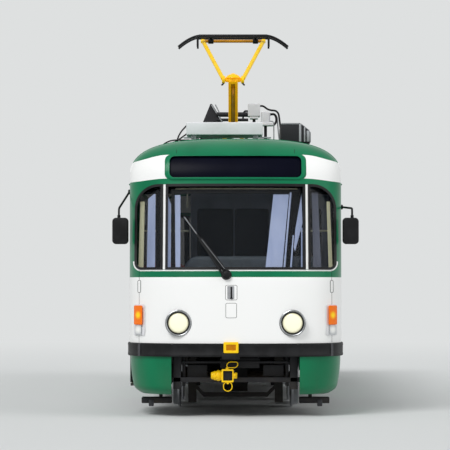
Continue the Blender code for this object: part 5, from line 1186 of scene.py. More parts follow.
wheel_steel, place = new_finish("wheel_steel")
x, y, z = place.axes()
level_z = z - AXLE_Z
nearest = abs(abs(abs(y) - BOGIE_Y) - 0.95)
radius = x.maths("SQRT", nearest * nearest + level_z * level_z)
tread = (radius > 0.338) | (abs(x) > WHEEL_OUTER + 0.006) * 0.2
cloud = place.grain(9.0, 5.0)
rust = cloud.coloured(tint(62, 58, 56), tint(92, 74, 58))
coat_with(
    wheel_steel,
    Base_Color=tread.coloured(rust, tint(176, 178, 182)),
    Metallic=0.35 + tread * 0.6,
    Roughness=0.62 - tread * 0.36 + cloud * 0.1,
    Normal=(place.grain(150.0, 3.0) + cloud).bumped(0.001, 0.25),
)
profile = both_ways(WHEEL_PROFILE)
for number, y in enumerate(AXLE_YS, 1):
    parts = [turned(profile, (0.0, y, AXLE_Z), (1, 0, 0), 72)]
    for side in (-1, 1):
        for step in range(8):
            angle = math.pi * (step + 0.5) / 4
            spot = (
                side * (WHEEL_BACK + 0.044), y + BOLT_CIRCLE * math.cos(angle),
                AXLE_Z + BOLT_CIRCLE * math.sin(angle)
            )
            parts.append(turned(cap(0.015, 0.018, 0.003, 0.004), spot, (side, 0, 0), 6))
    body = f"wheelset_{number}"
    finished(joined(parts), f"wheels_and_axle_{number}", wheel_steel, [body], body=body)


# Bogies
# Cast side frames and crossbeams carry two long motors. Over each pair of axles come coil springs, axle-box
# covers with four bolts, finned motor cases and a magnetic track brake between the wheels.
SPRING_X, SPRING_YS = 0.50, (-0.47, 0.47)
FRAME_HIGH_Z = 0.56
COIL_TURNS, COIL_STEPS = 4.5, 16
COVER_HALF, COVER_ZS = 0.085, (0.29, 0.46)
SPRING_CAP = cap(0.06, 0.014, 0.005, 0.006)
COVER_BOLT = ((0.0, 0.012), (0.013, 0.012), (0.013, 0.0), (0.0, 0.0))
MOTOR_FIN, MOTOR_Z = both_ways([(0.188, 0.008), (0.202, 0.006)]), 0.41


def coil(centre, radius, wire, low_z, high_z):
    """A coil spring whose end turns lie flat."""
    points = []
    for step in range(int(COIL_TURNS * COIL_STEPS) + 1):
        angle = 2 * math.pi * step / COIL_STEPS
        rise = min(1.0, max(0.0, (step / COIL_STEPS - 0.5) / (COIL_TURNS - 1.0)))
        z = low_z + wire + (high_z - low_z - 2 * wire) * rise
        points.append((centre[0] + radius * math.cos(angle), centre[1] + radius * math.sin(angle), z))
    return tubed(points, wire, resolution=2)


for word, end in ENDS:
    painted(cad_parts[f"bogie_frame_{word}"], dark_steel)
    parts = []
    for side in (-1, 1):
        for offset in SPRING_YS:
            centre = (side * SPRING_X, end * BOGIE_Y + offset)
            parts.append(coil(centre, 0.046, 0.011, FRAME_HIGH_Z + 0.001, FRAME_HIGH_Z + 0.125))
            parts.append(turned(SPRING_CAP, (*centre, FRAME_HIGH_Z + 0.124), (0, 0, 1), 32))
        for offset in (-0.95, 0.95):
            y = end * BOGIE_Y + offset
            xs = span(side, SPRING_X + 0.0555, SPRING_X + 0.078)
            low, high = (xs[0], y - COVER_HALF, COVER_ZS[0]), (xs[1], y + COVER_HALF, COVER_ZS[1])
            parts.append(boxed(low, high, 0.008, 0.03, "X"))
            for bolt_y in (-0.055, 0.055):
                for bolt_z in (0.32, 0.43):
                    spot = (side * (SPRING_X + 0.078), y + bolt_y, bolt_z)
                    parts.append(turned(COVER_BOLT, spot, (side, 0, 0), 6))
            parts.append(boxed((xs[0] - 0.06, y - 0.13, 0.5605), (xs[1] + 0.02, y + 0.13, 0.60), 0.012))
    for way in (-1, 1):
        for step in range(6):
            y = end * BOGIE_Y + way * (0.24 + step * 0.085)
            parts.append(turned(MOTOR_FIN, (0.0, y, MOTOR_Z), (0, 1, 0), 40))
    finished(joined(parts), f"bogie_fittings_{word}", dark_steel, body=f"bogie_{word}")


# Underframe
# Welded steel under a plywood floor. The steps and the floor are covered in ribbed dark rubber with a pale
# edge strip along each tread. The equipment cases have lids with catches.
CASE_X, CASE_LOW_Z = 1.12, 0.36
LID_LENGTH = 0.417
GENERATOR_FIN = both_ways([(0.199, 0.007), (0.213, 0.005)])

under_finish, place = new_finish("underframe_and_floor")
x, y, z = place.axes()
facing = place.node("NewGeometry", {}, {}, 1).axes()[2]
walked = (facing > 0.9) * (z > 0.35)
edge_strip = walked * (abs(x + 1.225) < 0.02)
inner_strip = walked * (z > 0.6) * (z < 0.7) * (abs(x + 0.815) < 0.02)
top_strip = walked * (z > 0.85) * (abs(x + 0.615) < 0.02)
cloud = place.grain(5.0, 5.0)
steel = (cloud * 0.8).coloured(tint(40, 40, 43), tint(70, 64, 56))
rubber = cloud.coloured(tint(52, 54, 56), tint(78, 78, 76))
covered = walked.coloured(steel, rubber)
ribs = y.maths("SINE", y * 420.0) * walked
coat_with(
    under_finish,
    Base_Color=(edge_strip | inner_strip | top_strip).coloured(covered, tint(214, 208, 180)),
    Roughness=0.6 + cloud * 0.2,
    Normal=(ribs + cloud).bumped(0.0015, 0.5),
)
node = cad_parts["underframe"]
painted(node, under_finish)
painted(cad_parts["underfloor_equipment"], dark_steel)

parts = []
for side in (-1, 1):
    low_y, high_y = span(side, 0.10, 1.45)
    for step in range(3):
        low = low_y + 0.02 + step * (LID_LENGTH + 0.02)
        lid_low, lid_high = (
            CASE_X + 0.0003, low, CASE_LOW_Z + 0.02
        ), (CASE_X + 0.012, low + LID_LENGTH, 0.68)
        parts.append(boxed(lid_low, lid_high, 0.004, 0.02, "X"))
        for spot in (low + 0.09, low + 0.327):
            catch_low, catch_high = (
                CASE_X + 0.0122, spot - 0.015, 0.63
            ), (CASE_X + 0.024, spot + 0.015, 0.665)
            parts.append(boxed(catch_low, catch_high, 0.003, axis="X"))
        handle = ((0.011, 0.16), (0.03, 0.165), (0.03, 0.255), (0.011, 0.26))
        parts.append(tubed([(CASE_X + out, low + along, 0.5) for out, along in handle], 0.005))
for step in range(12):
    y = -0.8 + step * 0.145
    parts.append(turned(GENERATOR_FIN, (0.0, y, 0.50), (0, 1, 0), 36))
finished(joined(parts), "case_lids", dark_steel)


# Couplers
# Forged folding couplers painted yellow, folded across the tram: a hub on its pin, a rounded yoke with a
# square hole, a stepped head with two dents, and a wire loop above and below.
DRAWBAR_X, DRAWBAR_Z, PIN_Y = -0.03, 0.482, 6.80
YOKE_LOW_X, YOKE_HIGH_X = -0.160, -0.022
# The yoke and the tall part of the neck stay farther from the pin than the corners of the cheeks, 0.0546 m.
YOKE_HALF_Z, YOKE_FRONT, YOKE_BACK = 0.075, 0.086, 0.057
TALL_NECK_X = -0.088
LOOP_PROUD = 0.070
EAR = ((0.0, 0.008), (0.013, 0.008), (0.016, 0.0), (0.013, -0.008), (0.0, -0.008))
HEAD_PROFILE = (
    (0.0, 0.123), (
        0.030, 0.123
    ), (0.038, 0.119), (0.043, 0.110), (0.044, 0.094), (0.050, 0.090), (0.053, 0.082),
    (0.053, 0.058), (0.060, 0.052), (0.062, 0.044), (0.062, 0.024), (0.054, 0.008), (
        0.048, -0.006
    ), (0.0, -0.006)
)


def bent(points, bend, steps=5):
    """The points with their inner corners rounded."""
    out = [Vector(points[0])]
    for before, corner, after in zip(points, points[1:], points[2:]):
        before, corner, after = Vector(before), Vector(corner), Vector(after)
        start = corner + (before - corner).normalized() * min(bend, (before - corner).length / 2)
        end = corner + (after - corner).normalized() * min(bend, (after - corner).length / 2)
        for step in range(steps + 1):
            share = step / steps
            out.append(start.lerp(corner, share).lerp(corner.lerp(end, share), share))
    return out + [Vector(points[-1])]


def sleeve(inner, outer, half, ease_in, ease_along):
    """The section of a ring round an axis, with eased outer edges."""
    return both_ways([(inner, half), (outer - ease_in, half), (outer, half - ease_along)])


def wire_loop(centre_x, y, low_z, high_z, half, slant=0.0):
    """A closed loop of wire with round ends, standing across the tram."""
    points = []
    radius = min(half, (high_z - low_z) / 2)
    for corner_x, corner_z, start in (
        (half, high_z, 0.0), (-half, high_z, 0.5), (-half, low_z, 1.0), (half, low_z, 1.5)
    ):
        for step in range(6):
            angle = math.pi * (start + step / 10)
            x = corner_x - math.copysign(radius, corner_x) + radius * math.cos(angle)
            z = corner_z - math.copysign(radius, corner_z - (low_z + high_z) / 2) + radius * math.sin(angle)
            points.append((centre_x + x + slant * (z - low_z), y, z))
    return tubed(points, 0.0055, closed=True)


for word, side in ENDS:
    y = side * PIN_Y
    hub = turned(sleeve(0.0208, 0.050, 0.034, 0.004, 0.005), (DRAWBAR_X, y, DRAWBAR_Z), (0, 0, 1))
    ys = sorted((y + side * YOKE_FRONT, y + side * YOKE_BACK))
    low, high = (YOKE_LOW_X, ys[0], DRAWBAR_Z - YOKE_HALF_Z), (YOKE_HIGH_X, ys[1], DRAWBAR_Z + YOKE_HALF_Z)
    yoke = rounded_plate("Y", low, high, 0.012)
    low, high = (YOKE_LOW_X + 0.018, y - 0.2, DRAWBAR_Z - 0.056), (
        YOKE_HIGH_X - 0.014, y + 0.2, DRAWBAR_Z + 0.056
    )
    settle_bevel(cut_away(yoke, rounded_plate("Y", low, high, 0.008)), 0.003, 2)
    # A thin black plate behind the yoke shows its square hole dark: painted shade.
    ys = sorted((y + side * (YOKE_BACK + 0.008), y + side * (YOKE_BACK + 0.002)))
    plate = rounded_plate(
        "Y", (low[0] - 0.004, ys[0], low[2] - 0.004), (high[0] + 0.004, ys[1], high[2] + 0.004)
    )
    finished(plate, f"{word}_coupler_shade_plate", black_trim, slot="yellow_paint", body=f"{word}_coupler")
    head = turned(HEAD_PROFILE, (YOKE_LOW_X, y, DRAWBAR_Z), (-1, 0, 0), 48)
    for dent_x, dent_z in ((-0.225, 0.020), (-0.218, -0.026)):
        alone()
        bpy.ops.mesh.primitive_uv_sphere_add(
            segments=24, ring_count=12, radius=0.014,
            location=(dent_x, y + side * 0.052, DRAWBAR_Z + dent_z)
        )
        cut_away(head, bpy.context.object)
    ys = sorted((y + side * (YOKE_BACK + 0.004), y - side * 0.02))
    neck = joined([
        boxed(
            (YOKE_LOW_X - 0.006, ys[0], DRAWBAR_Z - 0.045), (TALL_NECK_X, ys[1], DRAWBAR_Z + 0.045), 0.006
        ),
        boxed((TALL_NECK_X - 0.01, ys[0], DRAWBAR_Z - 0.033), (-0.060, ys[1], DRAWBAR_Z + 0.033), 0.004),
    ])
    ears = [
        turned(EAR, (x, y + side * LOOP_PROUD, z), (0, 1, 0), 24)
        for x, z in ((-0.097, DRAWBAR_Z + 0.083), (-0.089, DRAWBAR_Z - 0.081), (-0.012, DRAWBAR_Z + 0.012))
    ]
    loops = [
        wire_loop(-0.045, y + side * LOOP_PROUD, 0.574, 0.641, 0.062, 0.25),
        wire_loop(-0.089, y + side * LOOP_PROUD, 0.305, 0.412, 0.050),
    ]
    body = f"{word}_coupler"
    casting = joined([hub, yoke, head, neck, *ears, *loops])
    finished(casting, f"{word}_coupler_casting", yellow_paint, [body], body=body)


# Wiper
# A black hub on the waist carries two thin rods to the clip, and the blade runs from the clip up to its tip.
WIPER_X, WIPER_Z = -0.105, 1.640
WIPER_TIP_X, WIPER_TIP_Z = -0.592, 2.31
WIPER_STAND = 0.047


def wiper_place(share, height, aside=0.0):
    """A place along the wiper, at a height over the screen and to one side of the line."""
    run = Vector((WIPER_TIP_X - WIPER_X, 0.0, WIPER_TIP_Z - WIPER_Z))
    across = Vector((run.z, 0.0, -run.x)).normalized()
    spot = Vector((WIPER_X, 0.0, WIPER_Z)) + run * share + across * aside
    return (spot.x, end_y(-1, spot.x, spot.z) - height, spot.z)


hub_place = (WIPER_X, end_y(-1, WIPER_X, WIPER_Z), WIPER_Z)
hub = turned(
    (
        (0.0, 0.060), (0.028, 0.059), (0.042, 0.052), (0.051, 0.036), (0.053, 0.014), (0.060, 0.006),
        (0.060, -0.010), (0.0, -0.010)
    ),
    hub_place, (0, -1, 0), 40
)
steps = [step / 8 for step in range(9)]
rods = []
for aside in (-1, 1):
    start = [wiper_place(share * 0.62, WIPER_STAND, aside * (0.030 - 0.018 * share)) for share in steps]
    rods.append(tubed(start, 0.0135))
web = [wiper_place(share * 0.60, WIPER_STAND - 0.008, 0.0) for share in steps]
rods.append(tubed(web, 0.010))
# A thin grey line along the arm: a painted highlight.
edge = [wiper_place(0.08 + share * 0.52, WIPER_STAND + 0.012, 0.024 - 0.014 * share) for share in steps]
clip = tubed(
    [
        wiper_place(0.60, WIPER_STAND + 0.004), wiper_place(0.66, WIPER_STAND - 0.004),
        wiper_place(0.70, 0.026)
    ],
    0.012
)
# The blade's grey spine is a painted highlight.
spine = tubed(
    [wiper_place(0.40 + 0.60 * share, 0.022 + 0.010 * math.sin(math.pi * share)) for share in steps], 0.0065
)
lip = tubed([wiper_place(0.40 + 0.60 * share, 0.010) for share in steps], 0.0075)
finished(joined([hub, *rods, clip, lip]), "wiper_arm", black_trim, ["wiper"])
painted_highlight_grey = plain_finish("wiper_highlight", tint(128, 130, 134), tint(88, 90, 94), 0.35, 20.0, 0.5, shine=0.3)
finished(joined([spine, tubed(edge, 0.0035)]), "wiper_highlights", painted_highlight_grey, slot="black_trim")


# Mirrors
# Black moulded shells on bent steel arms, with a silvered glass that faces the driver.
MIRROR_X, MIRROR_Y, MIRROR_Z = 1.35, -6.30, 2.158
MIRROR_HALF_X, MIRROR_HALF_Z = 0.095, 0.155
ELBOW_Z = 2.425
FOOT_Y, FOOT_ZS = -5.93, (2.45, 2.63)
FOOT_PROFILE = ((0.0, 0.026), (0.022, 0.026), (0.028, 0.020), (0.030, 0.0), (0.0, 0.0))
CLAMP_PROFILE = ((0.0, 0.02), (0.019, 0.02), (0.019, -0.02), (0.0, -0.02))

mirror_glass, place = new_finish("mirror_glass")
coat_with(
    mirror_glass, Base_Color=tint(188, 196, 202), Metallic=1.0, Roughness=0.05 + place.grain(14.0) * 0.06
)
for (word, way), foot_z in zip(SIDES, FOOT_ZS):
    x = way * MIRROR_X
    low = (x - MIRROR_HALF_X, MIRROR_Y - 0.038, MIRROR_Z - MIRROR_HALF_Z)
    high = (x + MIRROR_HALF_X, MIRROR_Y + 0.036, MIRROR_Z + MIRROR_HALF_Z)
    shell = settle_bevel(rounded_plate("Y", low, high, 0.045), 0.016, 4)
    foot_x = way * (HALF_WIDTH + 0.0003)
    foot = turned(FOOT_PROFILE, (foot_x, FOOT_Y, foot_z), (way, 0, 0), 32)
    reach = way * (MIRROR_X + 0.018)
    line = [
        (foot_x + way * 0.010, FOOT_Y, foot_z), (reach, MIRROR_Y + 0.03, ELBOW_Z),
        (reach, MIRROR_Y, ELBOW_Z - 0.03), (reach, MIRROR_Y, MIRROR_Z)
    ]
    arm = tubed(bent(line, 0.03), 0.0125)
    clamp = turned(CLAMP_PROFILE, (reach, MIRROR_Y, MIRROR_Z + 0.165), (0, 0, 1), 24)
    finished(joined([shell, foot, arm, clamp]), f"mirror_shell_{word}", black_trim, [f"mirror_{word}"])
    low, high = (
        x - 0.078, MIRROR_Y + 0.0355, MIRROR_Z - 0.138
    ), (x + 0.078, MIRROR_Y + 0.0385, MIRROR_Z + 0.138)
    glass = rounded_plate("Y", low, high, 0.032, bevel=0.001)
    finished(glass, f"mirror_glass_{word}", mirror_glass, slot="lamp_glass")


# Cab
# A grey laminate wall with dark panes behind the driver, a dark padded cowl over the controls, a pale rail
# at each side, a dark header over the screen, and pale strips on the inside of the glass that are painted
# reflections, made to glow.
PARTITION_YS = (-4.95, -4.91)
PARTITION_XS, PARTITION_TOP_Z = (-0.55, 1.17), 2.66
PARTITION_PANES = ((-0.46, -0.035), (0.0, 0.40), (0.52, 1.05))
PARTITION_PANE_ZS = (1.88, 2.456)
FLOOR_Z = 0.88
COWL_YS = (-6.50, -6.12)
COWL_LOW_X, COWL_HIGH_X, COWL_TOP_Z = -0.60, 1.01, 1.86
FILM_OFFSET, FILM = -0.0605, 0.0012
REFLECTION_GLOW = 0.62
STRIP_LOW_Z, STRIP_HIGH_Z = SCREEN_LOW_Z + 0.012, 2.60

grey_laminate = plain_finish("grey_laminate", tint(106, 110, 122), tint(84, 88, 98), 0.5, 5.0, 0.6)
cowl_finish = plain_finish(
    "cowl_moulding", tint(104, 114, 122), tint(84, 92, 100), 0.6, 12.0, 0.5, bump=0.5
)
dark_pane, place = new_finish("dark_pane")
coat_with(
    dark_pane, Base_Color=place.grain(4.0).coloured(tint(3, 3, 16), tint(10, 12, 24)),
    Roughness=0.25 + place.grain(8.0) * 0.1, Specular_IOR_Level=0.1
)

low, high = (
    PARTITION_XS[0], PARTITION_YS[0], FLOOR_Z + 0.0005
), (PARTITION_XS[1], PARTITION_YS[1], PARTITION_TOP_Z)
panel = rounded_plate("Y", low, high)
frames, panes = [], []
for low_x, high_x in PARTITION_PANES:
    low_z, high_z = PARTITION_PANE_ZS
    cut_away(panel, rounded_plate("Y", (low_x, -5.1, low_z), (high_x, -4.8, high_z), 0.03))
    rim = rounded_plate(
        "Y", (low_x - 0.008, -4.954, low_z - 0.008), (high_x + 0.008, -4.906, high_z + 0.008), 0.038
    )
    hole = rounded_plate(
        "Y", (low_x + 0.012, -5.1, low_z + 0.012), (high_x - 0.012, -4.8, high_z - 0.012), 0.02
    )
    frames.append(settle_bevel(cut_away(rim, hole), 0.003, 2))
    low, high = (low_x + 0.006, -4.933, low_z + 0.006), (high_x - 0.006, -4.927, high_z - 0.006)
    panes.append(rounded_plate("Y", low, high, 0.025))
settle_bevel(panel, 0.004, 2)
finished(panel, "cab_wall", grey_laminate, ["cab_partition"], slot="interior_laminate")
finished(joined(frames), "cab_wall_rubbers", black_trim)
finished(joined(panes), "cab_wall_panes", dark_pane, slot="sign_glass")

low_y, high_y = COWL_YS
cowl = rounded_plate(
    "Y", (COWL_LOW_X, low_y, FLOOR_Z + 0.0005), (COWL_HIGH_X, high_y, COWL_TOP_Z), 0.0, 0.17, 12
)
settle_bevel(cowl, 0.05, 5)
dials = [
    turned(cap(0.045, 0.012, 0.007, 0.006), (x, high_y - 0.001, 1.70), (0, 1, 0), 32)
    for x in (0.05, 0.18, 0.31)
]
finished(joined([cowl, *dials]), "control_cowl", cowl_finish, ["dashboard"], slot="interior_laminate")

rail_finish = plain_finish("pale_rail", tint(206, 204, 176), tint(170, 166, 138), 0.35, 8.0, 0.4)
rails = [
    tubed(
        bent([(way * 1.10, -6.22, 2.16), (way * inner, -6.22, 2.16), (way * inner, -6.12, 2.16)], 0.04),
        0.012
    )
    for way, inner in ((1, 0.66), (-1, 0.56))
]
rails.append(tubed([(-0.566, -6.30, 2.44), (-0.566, -6.30, 2.66)], 0.010))
finished(joined(rails), "cab_rails", rail_finish, slot="grab_rail")


def on_glass(outlines, offset, thickness):
    """Thin film on the inside of the front screen, cut to outlines given as X and Z."""
    sheet = wrapped(-1, SILL_Z + 0.8, offset, thickness, 72, 40)
    cuts = [kept_inside(copied(sheet), pressed("Y", outline, -PAST_NOSE, -6.05)) for outline in outlines]
    scrapped(sheet)
    return joined(cuts)


def strip(low_left, low_right, high_left, high_right, high_z=STRIP_HIGH_Z):
    """The outline of a strip that stands on the screen's lower edge."""
    return [(low_left, STRIP_LOW_Z), (low_right, STRIP_LOW_Z), (high_right, high_z), (high_left, high_z)]


def painted_reflection_finish(name, colour, other, clear, glow=1.0):
    """Pale strips on the glass that are painted reflections and glow by emission, a little uneven up and
    down.
    """
    coat, place = new_finish(name)
    fade = place.grain(2.5, 3.0, (3.0, 3.0, 0.35))
    return coat_with(
        coat,
        Base_Color=fade.rise(0.3, 0.7).coloured(colour, other),
        Roughness=0.3 + fade * 0.1,
        Alpha=clear + fade * 0.1,
        Emission_Color=colour,
        Emission_Strength=REFLECTION_GLOW * glow,
    )


# The lilac, cream and grey strips are painted reflections, made to glow by emission.
lilac_reflection = painted_reflection_finish("lilac_reflection", tint(170, 184, 216), tint(192, 202, 228), 0.80)
cream_reflection = painted_reflection_finish("cream_reflection", tint(200, 200, 172), tint(212, 212, 186), 0.84, 1.1)
lilac = [
    [(-1.030, 1.718), (-0.932, 1.718), (-0.932, 2.60), (-1.020, 2.53)],
    [(-0.800, 1.718), (-0.748, 1.718), (-0.748, 2.46), (-0.802, 2.60), (-0.812, 2.56), (-0.808, 2.30)],
    strip(-0.692, -0.636, -0.704, -0.640, high_z=2.57),
    strip(0.345, 0.538, 0.440, 0.620, high_z=2.575),
    strip(0.552, 0.572, 0.632, 0.652, high_z=2.60),
    strip(0.628, 0.648, 0.662, 0.676, high_z=2.10),
    [(0.688, 1.912), (0.778, 2.241), (0.766, 2.570), (0.734, 2.397), (0.695, 2.179), (0.675, 1.959)],
    strip(0.756, 0.774, 0.760, 0.776, high_z=2.19),
]
finished(on_glass(lilac, FILM_OFFSET, FILM), "screen_reflection_lilac", lilac_reflection, slot="window_glass")
grey_reflection = painted_reflection_finish("grey_reflection", tint(92, 98, 118), tint(106, 112, 132), 0.80, 0.5)
finished(
    on_glass([strip(0.900, 0.995, 0.890, 0.960, high_z=2.60)], FILM_OFFSET, FILM), "screen_reflection_grey",
    grey_reflection, slot="window_glass"
)
cream = [strip(-1.135, -1.072, -1.115, -1.062, high_z=2.50), strip(1.085, 1.135, 1.065, 1.105, high_z=2.50)]
finished(on_glass(cream, FILM_OFFSET, FILM), "screen_reflection_cream", cream_reflection, slot="window_glass")
header = [[(-1.17, 2.585), (1.17, 2.585), (1.17, 2.70), (-1.17, 2.70)]]
finished(on_glass(header, FILM_OFFSET, 0.02), "screen_header", black_trim)
line = [[(-0.70, 2.634), (0.72, 2.634), (0.72, 2.650), (-0.70, 2.650)]]
finished(
    on_glass(line, FILM_OFFSET + 0.0006, 0.004), "screen_header_trim", rail_finish, slot="interior_laminate"
)
shades = [
    strip(-0.925, -0.862, -0.925, -0.862, high_z=2.62),
    strip(-0.742, -0.698, -0.742, -0.710, high_z=2.62),
    [
        (0.578, 1.720), (0.633, 1.724), (0.675, 1.928), (0.703, 2.194), (0.766, 2.601), (0.660, 2.601),
        (0.617, 2.084)
    ],
]
finished(on_glass(shades, FILM_OFFSET - 0.003, 0.003), "screen_shades", black_trim)


# Seats
# Moulded laminate shells with a dished base and a curved back, each on a steel leg with a foot plate. A rail
# along the wall joins the saloon seats.
SEAT_HALF, SEAT_ROW = 0.215, 0.86
SEAT_LINE = (
    (
        -0.205, 1.268
    ), (-0.210, 1.290), (-0.200, 1.312), (-0.170, 1.318), (-0.10, 1.308), (0.0, 1.300), (0.09, 1.302),
    (
        0.145, 1.315
    ), (0.182, 1.350), (0.200, 1.410), (0.214, 1.500), (0.236, 1.620), (0.256, 1.740), (0.266, 1.800),
    (0.276, 1.818), (0.288, 1.812)
)
SEAT_COLUMNS = 14
SEAT_SHELL = 0.016

seat_laminate = plain_finish("seat_laminate", tint(150, 34, 28), tint(116, 24, 22), 0.35, 8.0, 0.5)


def make_seat():
    """One seat's shell at the middle of the tram, facing the front."""
    rows = len(SEAT_LINE) - 1

    def place(across, along):
        across, row = across * 2, round((along + 0.5) * rows)
        y, z = SEAT_LINE[row]
        bend = abs(across) ** 4
        narrow = 1 - 0.10 * max(0.0, (row - 9) / (rows - 9)) ** 2
        upright = min(1.0, max(0.0, (row - 6) / 3))
        return across * SEAT_HALF * narrow, y - 0.030 * bend * upright, z + 0.016 * bend * (1 - upright)

    shell = thickened(closed_up(gridded(SEAT_COLUMNS, rows, place)), SEAT_SHELL)
    return settle_bevel(shell, 0.005, 2)


def make_leg():
    leg = boxed((-0.03, -0.03, FLOOR_Z + 0.008), (0.03, 0.03, 1.286), 0.006, 0.012, "Z")
    foot = boxed((-0.07, -0.07, FLOOR_Z + 0.0005), (0.07, 0.07, FLOOR_Z + 0.012), 0.004, 0.02, "Z")
    bracket = boxed((-0.15, -0.12, 1.262), (0.15, 0.12, 1.284), 0.004, 0.02, "Z")
    return joined([leg, foot, bracket])


shell, leg = make_seat(), make_leg()
groups = (
    ("driver_seat", [(0.30, -5.50)]),
    ("seats_left", [(0.935, row * SEAT_ROW) for row in range(-4, 6)]),
    ("seats_right_front", [(-0.935, -3.55 + row * SEAT_ROW) for row in range(3)]),
    ("seats_right_rear", [(-0.935, 1.15 + row * SEAT_ROW) for row in range(4)]),
)
for group, places in groups:
    shells = [copied(shell, (x, y, 0.0)) for x, y in places]
    finished(joined(shells), f"{group}_shells", seat_laminate, [group])
    legs = [copied(leg, (x, y, 0.0)) for x, y in places]
    if len(places) > 1:
        wall_x = math.copysign(1.10, places[0][0])
        ends = [(wall_x, places[index][1], 1.285) for index in (0, -1)]
        legs.append(tubed(ends, 0.016))
    finished(joined(legs), f"{group}_legs", dark_steel)
scrapped(shell, leg)


# Saloon
# A grab rail on four poles with clamps, a pale ceiling with one long row of lamps, pale wall panels under the
# windows and ribbed floor covering.
RAIL_X, RAIL_Z, RAIL_RADIUS = -0.48, 2.46, 0.017
POLE_YS = (-4.30, -0.72, 0.72, 4.30)
CEILING_YS = (-5.2, 5.9)
LAMP_YS = (-3.9, -2.4, -0.9, 0.6, 2.1, 3.6, 5.1)

rail = [
    tubed(
        [(RAIL_X, y, RAIL_Z) for y in (POLE_YS[0] - 0.017, POLE_YS[-1] + 0.017)], RAIL_RADIUS, resolution=5
    )
]
for y in POLE_YS:
    rail.append(tubed([(RAIL_X, y, z) for z in (FLOOR_Z + 0.0005, RAIL_Z)], 0.0165, resolution=5))
    for z, radius in ((FLOOR_Z + 0.0005, 0.034), (RAIL_Z - 0.05, 0.023)):
        rail.append(turned(cap(radius, 0.012, 0.004, 0.004), (RAIL_X, y, z), (0, 0, 1), 28))
finished(joined(rail), "grab_rails", bright_metal, ["handrails"], slot="grab_rail")


def ceiling_place(across, along):
    """The ceiling hangs a little under the roof, from wall to wall."""
    x, z = roof_point(0.03 + 0.94 * (across + 0.5), -0.056)
    return x, CEILING_YS[0] + (CEILING_YS[1] - CEILING_YS[0]) * (along + 0.5), z


ceiling_white = plain_finish("ceiling_laminate", tint(216, 216, 208), tint(196, 196, 188), 0.5, 2.0, 0.4)
finished(
    thickened(gridded(40, 2, ceiling_place), 0.004, 0.0), "ceiling", ceiling_white, slot="interior_laminate"
)
lamp_cover, place = new_finish("lamp_cover")
coat_with(
    lamp_cover, Base_Color=place.grain(30.0).coloured(
        tint(240, 240, 226), tint(226, 226, 210)
    ), Roughness=0.4 + place.grain(9.0) * 0.1,
    Emission_Color=tint(255, 252, 232), Emission_Strength=0.5
)
lamps = [boxed((-0.07, y - 0.42, 3.135), (0.07, y + 0.42, 3.19), 0.02, 0.03, "Z") for y in LAMP_YS]
finished(joined(lamps), "ceiling_lamps", lamp_cover, slot="lamp_glass")
panels = [boxed((side * 1.192 - 0.006, low, 0.885), (side * 1.192 + 0.006, high, 1.63), 0.003, axis="X")
          for side, low, high in ((1, -5.9, 5.9), (-1, -4.60, -0.68), (-1, 0.68, 4.60))]
finished(joined(panels), "wall_panels", interior_laminate)


# Roof boxes
# A white fan housing on four grey feet ahead of the pantograph, and a dark sheet-steel resistor box with
# pressed ribs on its front and side. The ribs' pale grey and the pale strips along the box's top edges are
# painted highlights.
FAN_LOW, FAN_HIGH = (-0.594, -5.55, 3.335), (0.33, -4.85, 3.484)
RESISTOR_LOW, RESISTOR_HIGH = (0.58, -3.85, 3.34), (0.98, -2.65, 3.60)
FOOT_INSET = 0.09
RIB_LOW_Z = 3.352

case = boxed(FAN_LOW, FAN_HIGH, 0.008, 0.016)
lid = boxed(
    (FAN_LOW[0] + 0.05, FAN_LOW[1] + 0.06, FAN_HIGH[2] - 0.004),
    (FAN_HIGH[0] - 0.05, FAN_HIGH[1] - 0.06, FAN_HIGH[2] + 0.006), 0.004, 0.03, "Z"
)
slats = [
    boxed(
        (FAN_LOW[0] + 0.14 + 0.09 * step, FAN_HIGH[1] - 0.001, 3.365),
        (FAN_LOW[0] + 0.19 + 0.09 * step, FAN_HIGH[1] + 0.007, 3.455), 0.004
    )
    for step in range(8)
]
finished(joined([case, lid, *slats]), "fan_housing", white_equipment, ["roof_box_front"])


def feet_under(low, high, top_z):
    """Angle brackets under a box's corners, with a foot plate that rests on the roof's curve."""
    parts = []
    for x in (low[0] + FOOT_INSET, high[0] - FOOT_INSET):
        for y in (low[1] + FOOT_INSET, high[1] - FOOT_INSET):
            plate_z = max(roof_z(x - 0.04), roof_z(x + 0.04))
            parts.append(boxed((x - 0.03, y - 0.03, plate_z), (x + 0.03, y + 0.03, top_z + 0.003), 0.004))
            plate_x = x + math.copysign(0.045, x - (low[0] + high[0]) / 2)
            plate_low = (plate_x - 0.06, y - 0.05, plate_z + 0.001)
            plate_high = (plate_x + 0.06, y + 0.05, plate_z + 0.012)
            parts.append(boxed(plate_low, plate_high, 0.003))
    return joined(parts)


grey_bracket = plain_finish("grey_bracket", tint(168, 170, 174), tint(130, 130, 130), 0.4, 12.0, 0.5, 0.4)
flanges = [
    boxed((low_x, y - 0.05, FAN_LOW[2] - 0.038), (high_x, y + 0.05, FAN_LOW[2] - 0.024), 0.004)
    for low_x, high_x in ((-0.625, -0.50), (0.250, 0.430)) for y in (
        FAN_LOW[1] + FOOT_INSET, FAN_HIGH[1] - FOOT_INSET
    )
]
feet = joined([feet_under(FAN_LOW, FAN_HIGH, FAN_LOW[2]), *flanges])
finished(feet, "fan_feet", grey_bracket, slot="white_equipment")
RESISTOR_EDGE = ((0.82, 3.590), (0.95, 3.485))
outline = [
    (RESISTOR_LOW[0], 3.34), (0.95, 3.34), RESISTOR_EDGE[1], RESISTOR_EDGE[0], (RESISTOR_LOW[0], 3.590)
]
case = pressed("Y", outline, RESISTOR_LOW[1], RESISTOR_HIGH[1], 0.008)
finished(
    joined([case, feet_under(RESISTOR_LOW, RESISTOR_HIGH, RESISTOR_LOW[2])]), "resistor_box", dark_steel,
    ["roof_box_resistors"]
)
